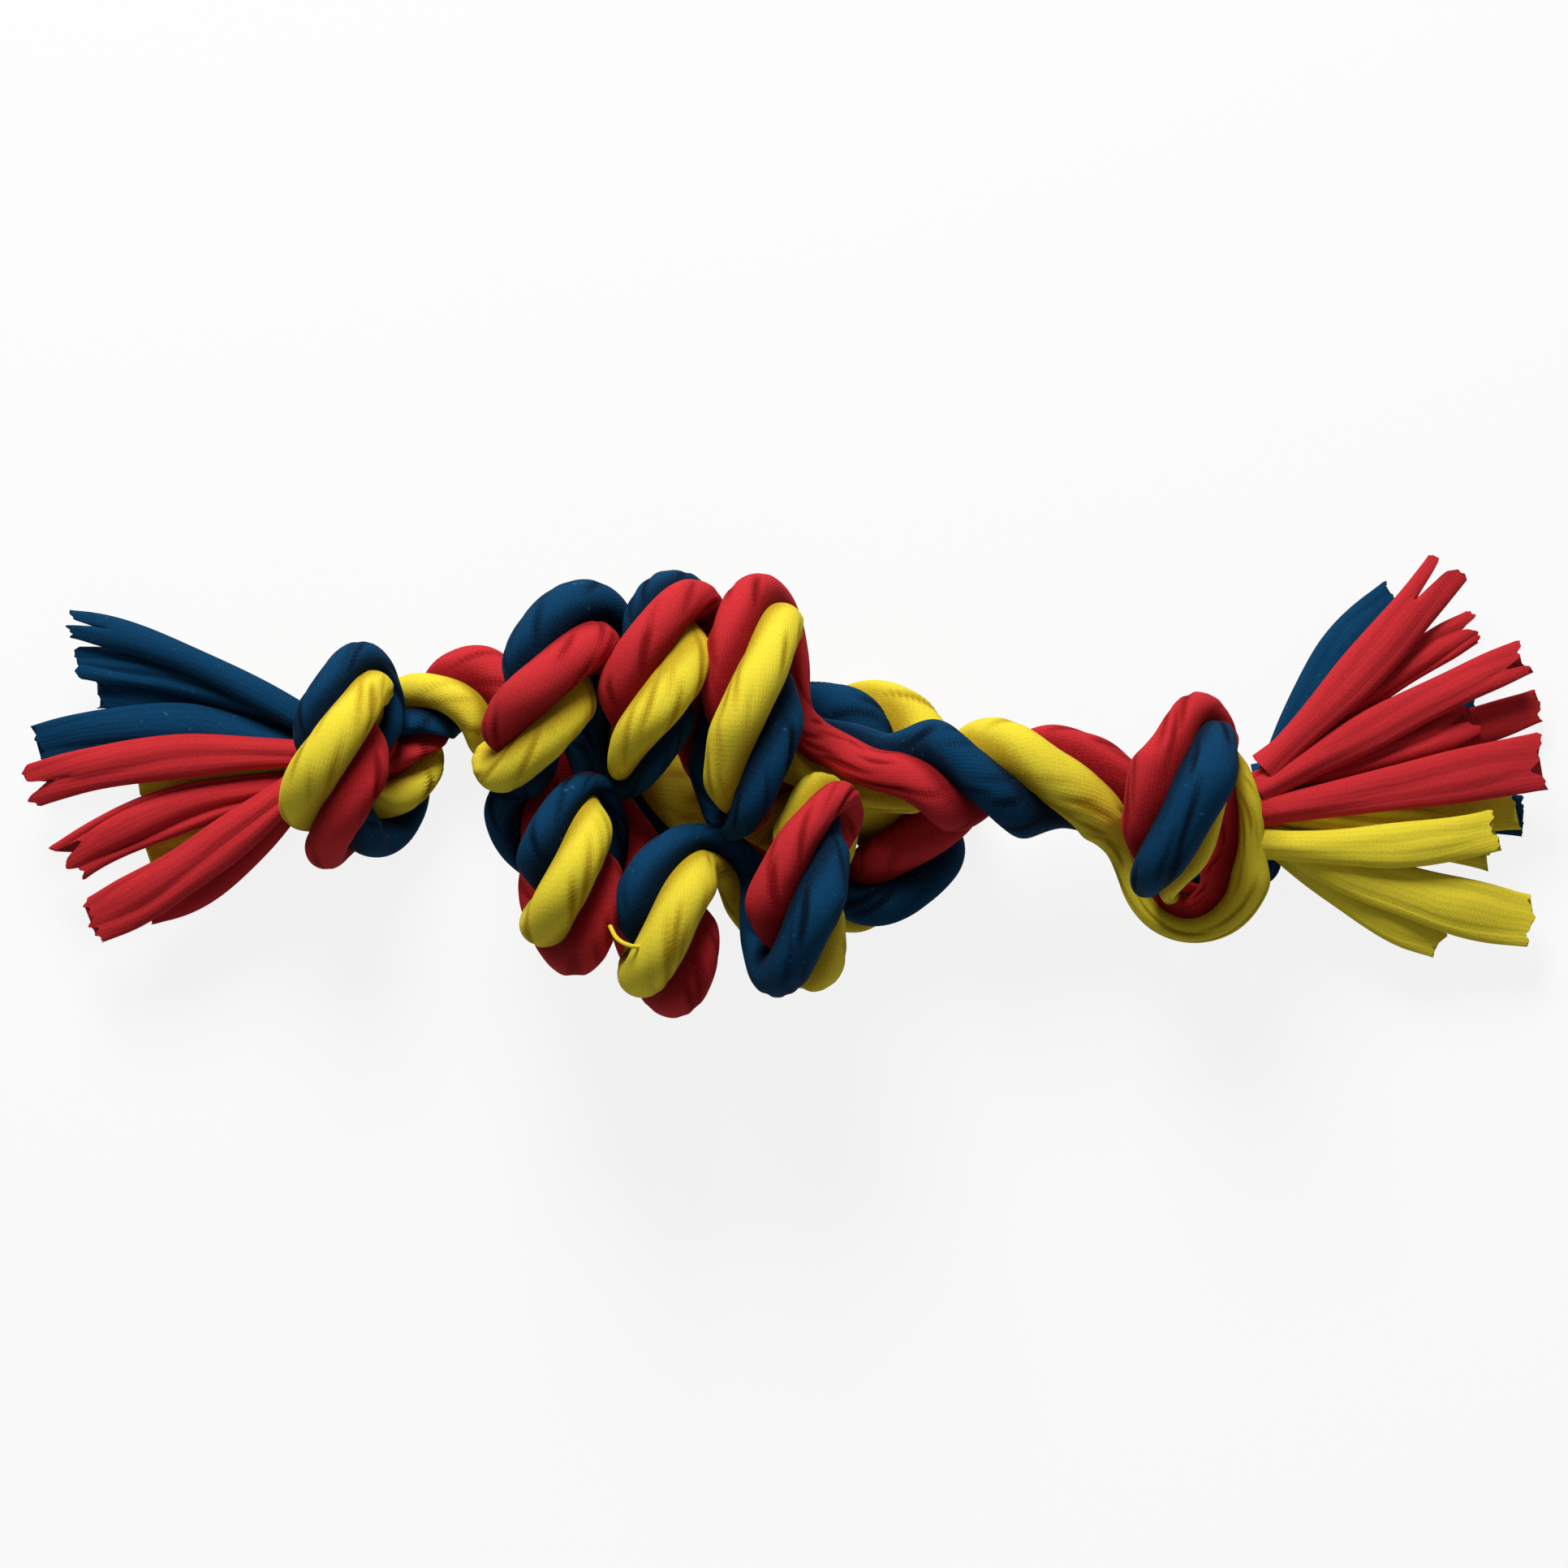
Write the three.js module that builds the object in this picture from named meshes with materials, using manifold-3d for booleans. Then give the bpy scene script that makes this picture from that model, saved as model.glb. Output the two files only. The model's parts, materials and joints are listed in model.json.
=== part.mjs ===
// A rope toy made of three jersey strands, blue, red and yellow, laid up into one rope.
// The rope has a large knot of six wraps in its middle, an overhand knot near each end, and
// beyond those knots its strands open into tassels of cut jersey strips.
// Millimetres. The toy lies on its back on the floor: X runs along it, Y across it, Z up.
import * as THREE from 'three';
import { mergeVertices } from 'three/addons/utils/BufferGeometryUtils.js';
import Module from 'manifold-3d';

// Rope
const ROPE_RADIUS = 11.0;       // of the laid rope where nothing squeezes it
const STRAND_GAP = 0.3;         // between two neighbouring strands
const STRAND_SPREAD = 0.55;     // half width of a strand over the rope's radius
const LAY_LENGTH = 54.0;        // one full turn of the strands
const PASS_GAP = 0.5;           // between two passes of the rope in a knot
const FLOOR_FLAT = 2.2;         // how deep the floor presses the lowest passes flat
const CUT_GAP = 0.3;            // between two bodies of the same strand
const BEND_SHARE = 0.96;        // of a bend's own radius that the rope may fill

// Centre knot: an upper and a lower coil of three wraps each
const COIL_HEIGHT = 39.2;       // of the two coils' axes over the floor
const WRAP_RADIUS = 11.3;       // from a coil's axis to the rope's middle
const WRAP_FULLNESS = 0.98;     // of a wrap's front, over the rope's own radius
const NEST_FULLNESS = 0.78;     // where the wraps press on each other
// Degrees round a wrap, from the middle of its front
const GOES_UNDER = [80, 150];   // where it goes under its neighbours
const COMES_OUT = [265, 325];   // where it comes out again
const WRAP_CHANGE = [100, 270]; // where it takes on the next wrap's form
const COIL_STEP = 30;           // from one point of a coil to the next
const LOWER_RANGE = [-60, 185]; // from before the first front to behind the last one
const UPPER_RANGE = [-75, 200];

// Tassels
const STRIP_THICKNESS = 2.4;
const STRIP_ROOT_WIDTH = 3.2;   // where the strips leave the rope's end
const STRIP_OPENING = 14.0;     // from the root to where a strip has its full width
const LEVEL_STEP = 3.4;         // from one layer of strips to the next
const TASSEL_DROOP = 9.0;       // how far a strip hangs at the droop length
const DROOP_LENGTH = 50.0;
const DROOP_POWER = 1.5;
const MIDDLE_LEVEL = 1.5;       // the layer that leaves the middle of the rope's end
const STRIP_LEAD = 0.1;         // share of a strip's length that leads straight out before it fans
const STRIP_EDGE = 0.35;        // how far a strip's edges slope in, over its thickness
const ROOT_GAP = 0.3;           // between the rope's end and the strips

// The wraps of the two coils: x of the front, y of the coil's axis, half of the straight front
// part, and how far the top of the wrap leans along X. The last line is where a coil ends.
const UPPER_WRAPS = [
  [-47.2, 18.0, 1.6, 6.0],
  [-26.0, 18.0, 5.4, 4.2],
  [-6.8, 13.4, 8.4, 1.5],
  [2.0, 14.0, 5.0, 1.0],
];
const LOWER_WRAPS = [
  [3.4, -17.8, 5.0, 1.2],
  [-23.0, -25.0, 0.8, 0.4],
  [-42.0, -14.6, 2.4, 0.0],
  [-57.0, -15.8, 0.8, 1.5],
];
// Degrees in which each wrap moves on to the next
const UPPER_SHIFT = [[45, 300], [45, 300], [45, 300]];
const LOWER_SHIFT = [[70, 360], [100, 340], [90, 360]];
const LOWER_ENTRY = [3.5, 1.0];   // how far the lower coil's first points stand aside along X

// The rope's route outside the coils: x, y, z and fullness, from the left tassel to the right one
const LEFT_END_ROUTE = [
  [-97.5, 5.0, 18.5, 0.98], [-93.8, 5.0, 18.5, 0.72], [-89.5, 5.3, 20.6, 0.42], [-84.6, 5.8, 21.6, 0.40],
  [-79.8, 8.6, 20.5, 0.48], [-79.4, 14.5, 20.0, 0.58], [-82.0, 20.4, 24.5, 0.70], [-84.5, 20.4, 31.0, 0.82],
  [-86.6, 14.0, 35.4, 0.94], [-88.2, 5.6, 36.6, 1.00], [-90.4, -2.6, 33.2, 1.04], [-90.2, -7.8, 22.5, 0.96],
  [-85.6, -8.4, 11.6, 0.82], [-80.0, -5.2, 7.8, 0.78], [-76.2, 1.5, 8.2, 0.80], [-75.2, 9.2, 10.6, 0.84],
  [-71.8, 15.4, 12.8, 0.96], [-66.0, 17.6, 13.4, 1.06],
];
const BACK_ROUTE = [
  [-58.5, 16.4, 12.4, 1.02], [-45.0, 9.0, 10.0, 0.96], [-31.0, -2.0, 9.2, 0.94], [-17.0, -6.6, 9.2, 0.96],
  [-4.6, -2.6, 9.6, 0.98], [6.0, 8.6, 11.2, 0.92], [15.4, 11.6, 12.0, 0.90], [22.4, 5.4, 11.4, 1.00],
  [24.2, -4.6, 11.2, 1.06], [22.8, -14.2, 10.8, 1.04], [18.2, -21.0, 10.4, 0.88], [9.0, -22.0, 8.6, 0.80],
  [3.4, -18.0, 9.4, 0.78], [5.0, -13.0, 19.0, 0.77], [8.0, -8.2, 30.0, 0.78],
];
const CROSSING_ROUTE = [[-51.0, -6.0, 26.5, 0.80], [-53.0, 4.0, 31.0, 0.80]];
const RIGHT_END_ROUTE = [
  [4.0, 7.4, 26.5, 0.78], [11.0, 5.6, 27.5, 0.84], [19.0, 2.4, 31.0, 0.94], [27.0, 2.4, 32.6, 1.02],
  [36.0, 1.6, 32.0, 1.06], [47.0, 1.2, 29.6, 1.08], [57.0, -0.4, 26.0, 1.08], [64.0, -4.8, 22.4, 1.00],
  [68.0, -11.4, 19.6, 0.90], [69.8, -18.8, 18.4, 0.90], [74.2, -25.4, 18.0, 1.00], [81.0, -27.6, 18.4, 1.04],
  [87.8, -23.4, 19.0, 1.02], [90.8, -14.6, 19.6, 0.96], [90.4, -5.5, 21.4, 0.70], [86.6, 1.6, 23.0, 0.60],
  [83.4, 7.6, 25.5, 0.62], [81.6, 10.8, 30.5, 0.78], [80.8, 9.6, 36.4, 1.02], [80.0, 3.6, 41.0, 1.12],
  [77.6, -4.0, 42.0, 1.08], [75.0, -11.4, 39.6, 0.98], [73.4, -17.6, 33.6, 0.90], [74.8, -20.6, 25.0, 0.72],
  [78.6, -20.6, 15.5, 0.58], [84.0, -20.0, 7.0, 0.56], [89.6, -19.0, 4.8, 0.60], [93.8, -14.0, 5.0, 0.64],
  [93.6, -9.0, 7.8, 0.58], [92.4, -4.8, 13.0, 0.56], [93.8, -1.7, 16.2, 0.66], [96.0, -1.4, 16.5, 0.84],
  [98.6, -1.4, 16.5, 0.98],
];

// Where a strand shows, seen from above: x, y and its colour
const SHOWN = [
  [-87.4, 10.5, 'yellow'], [-73.2, -2.4, 'yellow'], [-66.0, 16.2, 'yellow'], [12.5, 15.1, 'blue'],
  [26.4, -11.5, 'red'], [6.2, -4.8, 'red'], [-22.0, -29.5, 'yellow'], [-41.3, -18.0, 'yellow'],
  [-46.8, 21.5, 'red'], [-26.2, 12.2, 'yellow'], [-8.0, 15.8, 'yellow'], [9.0, 8.0, 'red'],
  [21.0, 1.5, 'red'], [38.5, 1.5, 'blue'], [56.5, 0.0, 'yellow'], [62.9, -11.0, 'yellow'],
  [75.4, -29.6, 'yellow'], [86.8, -29.4, 'yellow'], [93.8, -13.6, 'yellow'], [88.4, 6.0, 'blue'],
  [72.6, -18.2, 'blue'], [98.4, -16.0, 'blue'],
];

// A colour's place round the rope, as a share of a turn
const STRANDS = {
  red: { turn: 0, colour: 0xc0282d },
  blue: { turn: -1 / 3, colour: 0x0a3f63 },
  yellow: { turn: 1 / 3, colour: 0xeed93c },
};

// Each strip: name, colour, layer from the floor up, place across the root, x and y of its tip,
// how far its middle bows across, full width
const LEFT_STRIPS = [
  ['blue_1', 'blue', 3, 7.5, -141.0, 30.4, 3.0, 5.6],
  ['blue_2', 'blue', 2, 7.5, -139.5, 24.6, 2.5, 5.2],
  ['blue_3', 'blue', 1, 6.0, -136.5, 18.0, 2.0, 6.0],
  ['blue_4', 'blue', 2, 1.8, -148.6, 7.6, 3.5, 7.4],
  ['blue_5', 'blue', 0, 0.0, -130.0, 7.4, 0.0, 6.4],
  ['red_1', 'red', 3, 0.8, -150.0, -0.6, 2.0, 8.0],
  ['red_2', 'red', 2, -4.2, -142.6, -15.8, 2.0, 8.4],
  ['red_3', 'red', 3, -4.9, -137.6, -27.4, -3.0, 9.6],
  ['red_4', 'red', 1, -6.5, -127.0, -24.6, -4.0, 7.0],
  ['yellow_1', 'yellow', 0, 6.0, -130.6, 19.2, 1.0, 6.4],
  ['yellow_2', 'yellow', 1, 0.0, -127.6, -1.6, 0.0, 8.0],
  ['yellow_3', 'yellow', 0, -5.7, -127.2, -13.0, 0.0, 6.0],
];
const RIGHT_STRIPS = [
  ['red_1', 'red', 3, 6.6, 131.8, 43.4, 1.0, 7.8],
  ['red_2', 'red', 2, 6.6, 137.2, 31.6, 2.0, 6.4],
  ['red_3', 'red', 3, 2.2, 147.2, 25.4, 2.0, 6.4],
  ['red_4', 'red', 2, 2.2, 135.8, 14.0, 0.0, 7.4],
  ['red_5', 'red', 1, 1.8, 149.8, 15.6, 0.0, 5.6],
  ['red_6', 'red', 3, -2.7, 150.7, 4.6, 0.5, 7.8],
  ['yellow_1', 'yellow', 1, -3.9, 145.4, -4.6, 0.0, 8.0],
  ['yellow_2', 'yellow', 3, -8.6, 141.2, -9.0, -1.5, 7.2],
  ['yellow_3', 'yellow', 2, -3.1, 140.4, -13.4, 0.5, 7.0],
  ['yellow_4', 'yellow', 2, -8.3, 148.0, -27.2, -2.5, 9.0],
  ['yellow_5', 'yellow', 1, -9.1, 130.6, -30.6, -2.0, 7.0],
  ['blue_1', 'blue', 1, 6.8, 121.0, 37.2, 4.0, 7.0],
  ['blue_2', 'blue', 0, 3.1, 138.6, 14.0, 0.0, 7.0],
  ['blue_3', 'blue', 0, -0.8, 147.0, -6.4, 0.0, 8.0],
];

// Places that part the rope into bodies: the cut is at the rope's nearest point
const LEFT_KNOT_END = [-74.6, 9.6, 11.0];
const LEFT_NECK_END = [-59.0, 16.6, 12.5];
const RIGHT_NECK_START = [27.0, 2.4, 32.6];
const RIGHT_KNOT_START = [60.5, -2.2, 24.4];

const SAMPLE = 1.25;            // spacing of the points that the route is measured on
const SPAN_POINTS = 16;         // of the curve between two points of the route
const EASING = 8;               // passes that round off the curve
const OUT_OF_SIGHT = 1000;      // puts a sample that doesn't cover a place behind all that do
const RING_STEP = 3;            // samples from one ring of a strand to the next
const PROFILE = [-60, -36, -12, 12, 36, 60].map(THREE.MathUtils.degToRad);
const STRIP_RINGS = 7;
const FLOOR_WIDTH = 800;
const FLOOR_DEPTH = 60;

function ease(value, low, high) {
  const u = Math.min(1, Math.max(0, (value - low) / (high - low)));
  return u * u * (3 - 2 * u);
}

// Fullness round a wrap: full on the front and the outer bend, pressed behind and between the coils.
function wrapFullness(degrees) {
  const round = ((degrees % 360) + 360) % 360;
  const pressed = ease(round, ...GOES_UNDER) - ease(round, ...COMES_OUT);
  return WRAP_FULLNESS + (NEST_FULLNESS - WRAP_FULLNESS) * pressed;
}

// One coil, a point at each step round its wraps. side is 1 where the front runs up (+Y) and -1
// where it runs down. shift gives the degrees in which a wrap moves on to the next.
function coil(wraps, side, shift, [first, last]) {
  const points = [];
  for (let k = 0; k < wraps.length - 1; k++) {
    const from = k === 0 ? first : 0;
    const to = k === wraps.length - 2 ? last : 360;
    for (let a = from; a < to; a += COIL_STEP) {
      const moved = ease(a, ...shift[k]);
      const grown = ease(a, ...WRAP_CHANGE);
      const mix = (i) => wraps[k][i] + (wraps[k + 1][i] - wraps[k][i]) * grown;
      const x = wraps[k][0] + (wraps[k + 1][0] - wraps[k][0]) * moved;
      const sine = Math.sin(THREE.MathUtils.degToRad(a));
      const cosine = Math.cos(THREE.MathUtils.degToRad(a));
      const straight = mix(2) * (1.5 * sine - 0.5 * sine ** 3);
      points.push([
        x + side * mix(3) * sine,
        mix(1) + side * (WRAP_RADIUS * sine + straight),
        COIL_HEIGHT + WRAP_RADIUS * cosine,
        wrapFullness(a),
      ]);
    }
  }
  return points;
}

function routePoints() {
  const lower = coil(LOWER_WRAPS, -1, LOWER_SHIFT, LOWER_RANGE);
  LOWER_ENTRY.forEach((aside, i) => { lower[i][0] += aside; });
  const upper = coil(UPPER_WRAPS, 1, UPPER_SHIFT, UPPER_RANGE);
  return [...LEFT_END_ROUTE, ...BACK_ROUTE, ...lower, ...CROSSING_ROUTE, ...upper, ...RIGHT_END_ROUTE];
}

// Centripetal Catmull-Rom curve through the points, with the fullness as a fourth coordinate.
function curveThrough(points, perSpan) {
  const mirror = (a, b) => a.map((v, i) => 2 * v - b[i]);
  const n = points.length;
  const p = [mirror(points[0], points[1]), ...points, mirror(points[n - 1], points[n - 2])];
  const knot = p.slice(1).map((q, i) => Math.hypot(q[0] - p[i][0], q[1] - p[i][1], q[2] - p[i][2]) ** 0.5);
  const blend = (a, b, t, t0, t1) => a.map((v, i) => ((t1 - t) * v + (t - t0) * b[i]) / (t1 - t0));
  const out = [];
  for (let i = 1; i < p.length - 2; i++) {
    const t1 = knot[i - 1];
    const t2 = t1 + knot[i];
    const t3 = t2 + knot[i + 1];
    for (let k = 0; k < perSpan; k++) {
      const t = t1 + (t2 - t1) * (k / perSpan);
      const a1 = blend(p[i - 1], p[i], t, 0, t1);
      const a2 = blend(p[i], p[i + 1], t, t1, t2);
      const a3 = blend(p[i + 1], p[i + 2], t, t2, t3);
      out.push(blend(blend(a1, a2, t, 0, t2), blend(a2, a3, t, t1, t3), t, t1, t2));
    }
  }
  out.push(points[n - 1]);
  return out;
}

// The curve at even spacing, then eased so that no bend is a corner.
function evenly(curve, step, easing) {
  const along = [0];
  for (let i = 1; i < curve.length; i++) {
    const [a, b] = [curve[i - 1], curve[i]];
    along.push(along[i - 1] + Math.hypot(b[0] - a[0], b[1] - a[1], b[2] - a[2]));
  }
  const total = along[along.length - 1];
  const count = Math.round(total / step);
  let rows = [];
  for (let i = 0, k = 0; i <= count; i++) {
    const s = (total * i) / count;
    while (k < curve.length - 2 && along[k + 1] < s) k++;
    const u = (s - along[k]) / (along[k + 1] - along[k]);
    rows.push(curve[k].map((v, c) => v + (curve[k + 1][c] - v) * u));
  }
  for (let pass = 0; pass < easing; pass++) {
    rows = rows.map((row, i) => {
      if (i === 0 || i === rows.length - 1) return row;
      return row.map((v, c) => 0.25 * rows[i - 1][c] + 0.5 * v + 0.25 * rows[i + 1][c]);
    });
  }
  return rows;
}

// Tangent and two cross directions at each point, carried along without turning (double reflection).
function carriedFrames(points) {
  const last = points.length - 1;
  const tangent = points.map((p, i) => {
    const a = points[Math.max(0, i - 1)];
    const b = points[Math.min(last, i + 1)];
    return b.clone().sub(a).normalize();
  });
  const up = new THREE.Vector3(0, 0, 1);
  const across = [up.addScaledVector(tangent[0], -up.dot(tangent[0])).normalize()];
  for (let i = 0; i < last; i++) {
    const v1 = points[i + 1].clone().sub(points[i]);
    const c1 = v1.lengthSq();
    const r = across[i].clone().addScaledVector(v1, (-2 / c1) * v1.dot(across[i]));
    const t = tangent[i].clone().addScaledVector(v1, (-2 / c1) * v1.dot(tangent[i]));
    const v2 = tangent[i + 1].clone().sub(t);
    const c2 = v2.lengthSq();
    across.push(c2 > 1e-14 ? r.addScaledVector(v2, (-2 / c2) * v2.dot(r)) : r);
  }
  const side = points.map((_, i) => tangent[i].clone().cross(across[i]));
  return { tangent, across, side };
}

// The rope's radius: its fullness, but never so wide that two passes touch or a bend folds.
function squeezedRadius(rope, fullness) {
  const { points, tangent } = rope;
  const wanted = fullness.map((f) => ROPE_RADIUS * f);
  const apart = Math.round((3 * ROPE_RADIUS) / SAMPLE);
  let radius = wanted.map((r, i) => {
    let limit = r;
    for (let j = 0; j < points.length; j++) {
      if (Math.abs(i - j) < apart) continue;
      const free = points[i].distanceTo(points[j]) - PASS_GAP;
      limit = Math.min(limit, (free * r) / (r + wanted[j]));
    }
    const a = Math.max(0, i - 3);
    const b = Math.min(points.length - 1, i + 3);
    const bend = tangent[a].angleTo(tangent[b]) / ((b - a) * SAMPLE);
    return Math.min(limit, BEND_SHARE / Math.max(bend, 1e-6));
  });
  for (let pass = 0; pass < 4; pass++) {
    const low = radius.map((_, i) => Math.min(...radius.slice(Math.max(0, i - 1), i + 2)));
    radius = low.map((r, i) => {
      const a = low[Math.max(0, i - 1)];
      const b = low[Math.min(low.length - 1, i + 1)];
      return Math.min(radius[i], 0.25 * a + 0.5 * r + 0.25 * b);
    });
  }
  return radius;
}

function nearest(points, target) {
  const at = new THREE.Vector3(...target.slice(0, 3));
  let best = 0;
  points.forEach((p, i) => {
    if (p.distanceToSquared(at) < points[best].distanceToSquared(at)) best = i;
  });
  return best;
}

// The rope's sample that shows at a place of the plan, and the way from its middle to the surface
// there. Each sample stands for a ball of its radius, and the ball that reaches highest wins.
function seenFromAbove(rope, x, y) {
  const { points, radius } = rope;
  let highest = -Infinity;
  let top = 0;
  points.forEach((p, i) => {
    const off = Math.hypot(x - p.x, y - p.y);
    const covers = off < radius[i];
    const reach = covers ? p.z + Math.sqrt(radius[i] ** 2 - off ** 2) : 0;
    const score = covers ? reach : radius[i] - off - OUT_OF_SIGHT;
    if (score > highest) {
      highest = score;
      top = covers ? reach : p.z;
    }
  });
  const i = nearest(points, [x, y, top]);
  return { i, way: new THREE.Vector3(x, y, top).sub(points[i]) };
}

// The red strand's angle along the rope. At each place of SHOWN the named strand passes, and
// between two of them the strands make the count of turns nearest to the lay length.
function layAngles(rope) {
  const { points, across, side } = rope;
  const turn = 2 * Math.PI;
  const keys = SHOWN.map(([x, y, colour]) => {
    const { i, way } = seenFromAbove(rope, x, y);
    return { i, angle: Math.atan2(way.dot(side[i]), way.dot(across[i])) - turn * STRANDS[colour].turn };
  }).sort((a, b) => a.i - b.i);
  for (let k = 1; k < keys.length; k++) {
    const natural = (turn * (keys[k].i - keys[k - 1].i) * SAMPLE) / LAY_LENGTH;
    const step = keys[k].angle - keys[k - 1].angle;
    keys[k].angle += turn * Math.round((natural - step) / turn);
  }
  const rate = (turn * SAMPLE) / LAY_LENGTH;
  const end = points.length - 1;
  const final = keys[keys.length - 1];
  keys.unshift({ i: 0, angle: keys[0].angle - rate * keys[0].i });
  keys.push({ i: end, angle: final.angle + rate * (end - final.i) });
  const slope = keys.slice(1).map((b, k) => (b.angle - keys[k].angle) / (b.i - keys[k].i));
  const grade = keys.map((_, k) => {
    if (k === 0) return slope[0];
    if (k === keys.length - 1) return slope[k - 1];
    const [a, b] = [slope[k - 1], slope[k]];
    if (a * b <= 0) return 0;
    const [ha, hb] = [keys[k].i - keys[k - 1].i, keys[k + 1].i - keys[k].i];
    return (3 * (ha + hb)) / ((2 * hb + ha) / a + (hb + 2 * ha) / b);
  });
  return points.map((_, i) => {
    let k = 0;
    while (k < keys.length - 2 && keys[k + 1].i < i) k++;
    const h = keys[k + 1].i - keys[k].i;
    const t = (i - keys[k].i) / h;
    return (2 * t ** 3 - 3 * t ** 2 + 1) * keys[k].angle + (t ** 3 - 2 * t ** 2 + t) * h * grade[k]
      + (3 * t ** 2 - 2 * t ** 3) * keys[k + 1].angle + (t ** 3 - t ** 2) * h * grade[k + 1];
  });
}

function makeRope() {
  const rows = evenly(curveThrough(routePoints(), SPAN_POINTS), SAMPLE, EASING);
  const points = rows.map((r) => new THREE.Vector3(r[0], r[1], r[2]));
  const rope = { points, ...carriedFrames(points) };
  rope.radius = squeezedRadius(rope, rows.map((r) => r[3]));
  rope.angle = layAngles(rope);
  return rope;
}

// Least gap between two passes of the rope, measured on its points.
function leastGap(rope) {
  const { points, radius } = rope;
  const apart = Math.round((3 * ROPE_RADIUS) / SAMPLE);
  let least = Infinity;
  for (let i = 0; i < points.length; i++) {
    for (let j = i + apart; j < points.length; j++) {
      least = Math.min(least, points[i].distanceTo(points[j]) - radius[i] - radius[j]);
    }
  }
  return least;
}

// A closed solid from rings of equally many points, each ring turning the same way about the sweep.
// flip(k) picks the other diagonal on side k, so that two facing walls share their edges.
function solidFromRings(rings, flip) {
  const n = rings[0].length;
  const position = rings.flat().flatMap((p) => [p.x, p.y, p.z]);
  const index = [];
  for (let i = 0; i < rings.length - 1; i++) {
    for (let k = 0; k < n; k++) {
      const [a, b] = [i * n + k, i * n + ((k + 1) % n)];
      const [c, d] = [b + n, a + n];
      if (flip(k)) index.push(a, b, d, b, c, d);
      else index.push(a, b, c, a, c, d);
    }
  }
  const top = (rings.length - 1) * n;
  for (let k = 1; k < n - 1; k++) {
    index.push(0, k + 1, k);
    index.push(top, top + k, top + k + 1);
  }
  const geometry = new THREE.BufferGeometry();
  geometry.setAttribute('position', new THREE.Float32BufferAttribute(position, 3));
  geometry.setIndex(index);
  return geometry;
}

// A strand's outline across the rope, as a share of the rope's radius, at an angle from its middle.
function strandReach(angle) {
  const c = Math.cos(angle);
  const s = Math.sin(angle);
  return (4 * c) / (4 * c * c + (s / STRAND_SPREAD) ** 2);
}

// The rope's middle, directions, radius and lay angle between two samples.
function sectionAt(rope, place) {
  const i = Math.min(rope.points.length - 2, Math.floor(place));
  const u = place - i;
  const between = (list) => list[i] + (list[i + 1] - list[i]) * u;
  const turned = (list) => list[i].clone().lerp(list[i + 1], u).normalize();
  return {
    middle: rope.points[i].clone().lerp(rope.points[i + 1], u),
    tangent: turned(rope.tangent),
    across: turned(rope.across),
    side: turned(rope.side),
    radius: between(rope.radius),
    angle: between(rope.angle),
  };
}

// One strand from sample first to sample last: a rounded sector of the rope that turns with the lay.
function strandGeometry(rope, colour, first, last) {
  const steps = Math.max(1, Math.round((last - first) / RING_STEP));
  const apex = STRAND_GAP / Math.sqrt(3);
  const rings = [];
  for (let k = 0; k <= steps; k++) {
    const section = sectionAt(rope, first + ((last - first) * k) / steps);
    const angle = section.angle + 2 * Math.PI * STRANDS[colour].turn;
    const out = section.across.clone().multiplyScalar(Math.cos(angle))
      .addScaledVector(section.side, Math.sin(angle));
    const round = section.tangent.clone().cross(out);
    const at = (radial, tangential) => section.middle.clone()
      .addScaledVector(out, radial).addScaledVector(round, tangential);
    const ring = [at(apex, 0)];
    for (const a of PROFILE) {
      const reach = section.radius * strandReach(a);
      const edge = Math.abs(a) > Math.PI / 3 - 0.01 ? 1 : 0;
      const outward = (edge * STRAND_GAP * Math.sqrt(3)) / 4;
      const inward = (Math.sign(a) * edge * STRAND_GAP) / 4;
      ring.push(at(reach * Math.cos(a) + outward, reach * Math.sin(a) - inward));
    }
    rings.push(ring);
  }
  return solidFromRings(rings, (k) => k >= PROFILE.length / 2 + 1);
}

const wasm = await Module();
wasm.setup();

function toSolid(geometry) {
  const bare = geometry.clone();
  bare.deleteAttribute('normal');
  bare.deleteAttribute('uv');
  const merged = mergeVertices(bare, 1e-4);
  return new wasm.Manifold(new wasm.Mesh({
    numProp: 3,
    vertProperties: new Float32Array(merged.attributes.position.array),
    triVerts: new Uint32Array(merged.index.array),
  }));
}

function fromSolid(solid) {
  const mesh = solid.getMesh();
  const geometry = new THREE.BufferGeometry();
  geometry.setAttribute('position', new THREE.BufferAttribute(new Float32Array(mesh.vertProperties), 3));
  geometry.setIndex(new THREE.BufferAttribute(new Uint32Array(mesh.triVerts), 1));
  return geometry;
}

// What lies below the floor is pressed flat against it.
const floor = new THREE.BoxGeometry(FLOOR_WIDTH, FLOOR_WIDTH, FLOOR_DEPTH).translate(0, 0, -FLOOR_DEPTH / 2);
const floorSolid = toSolid(floor);
function pressedFlat(geometry) {
  geometry.computeBoundingBox();
  if (geometry.boundingBox.min.z >= 0) return geometry;
  return fromSolid(toSolid(geometry).subtract(floorSolid));
}

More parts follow.
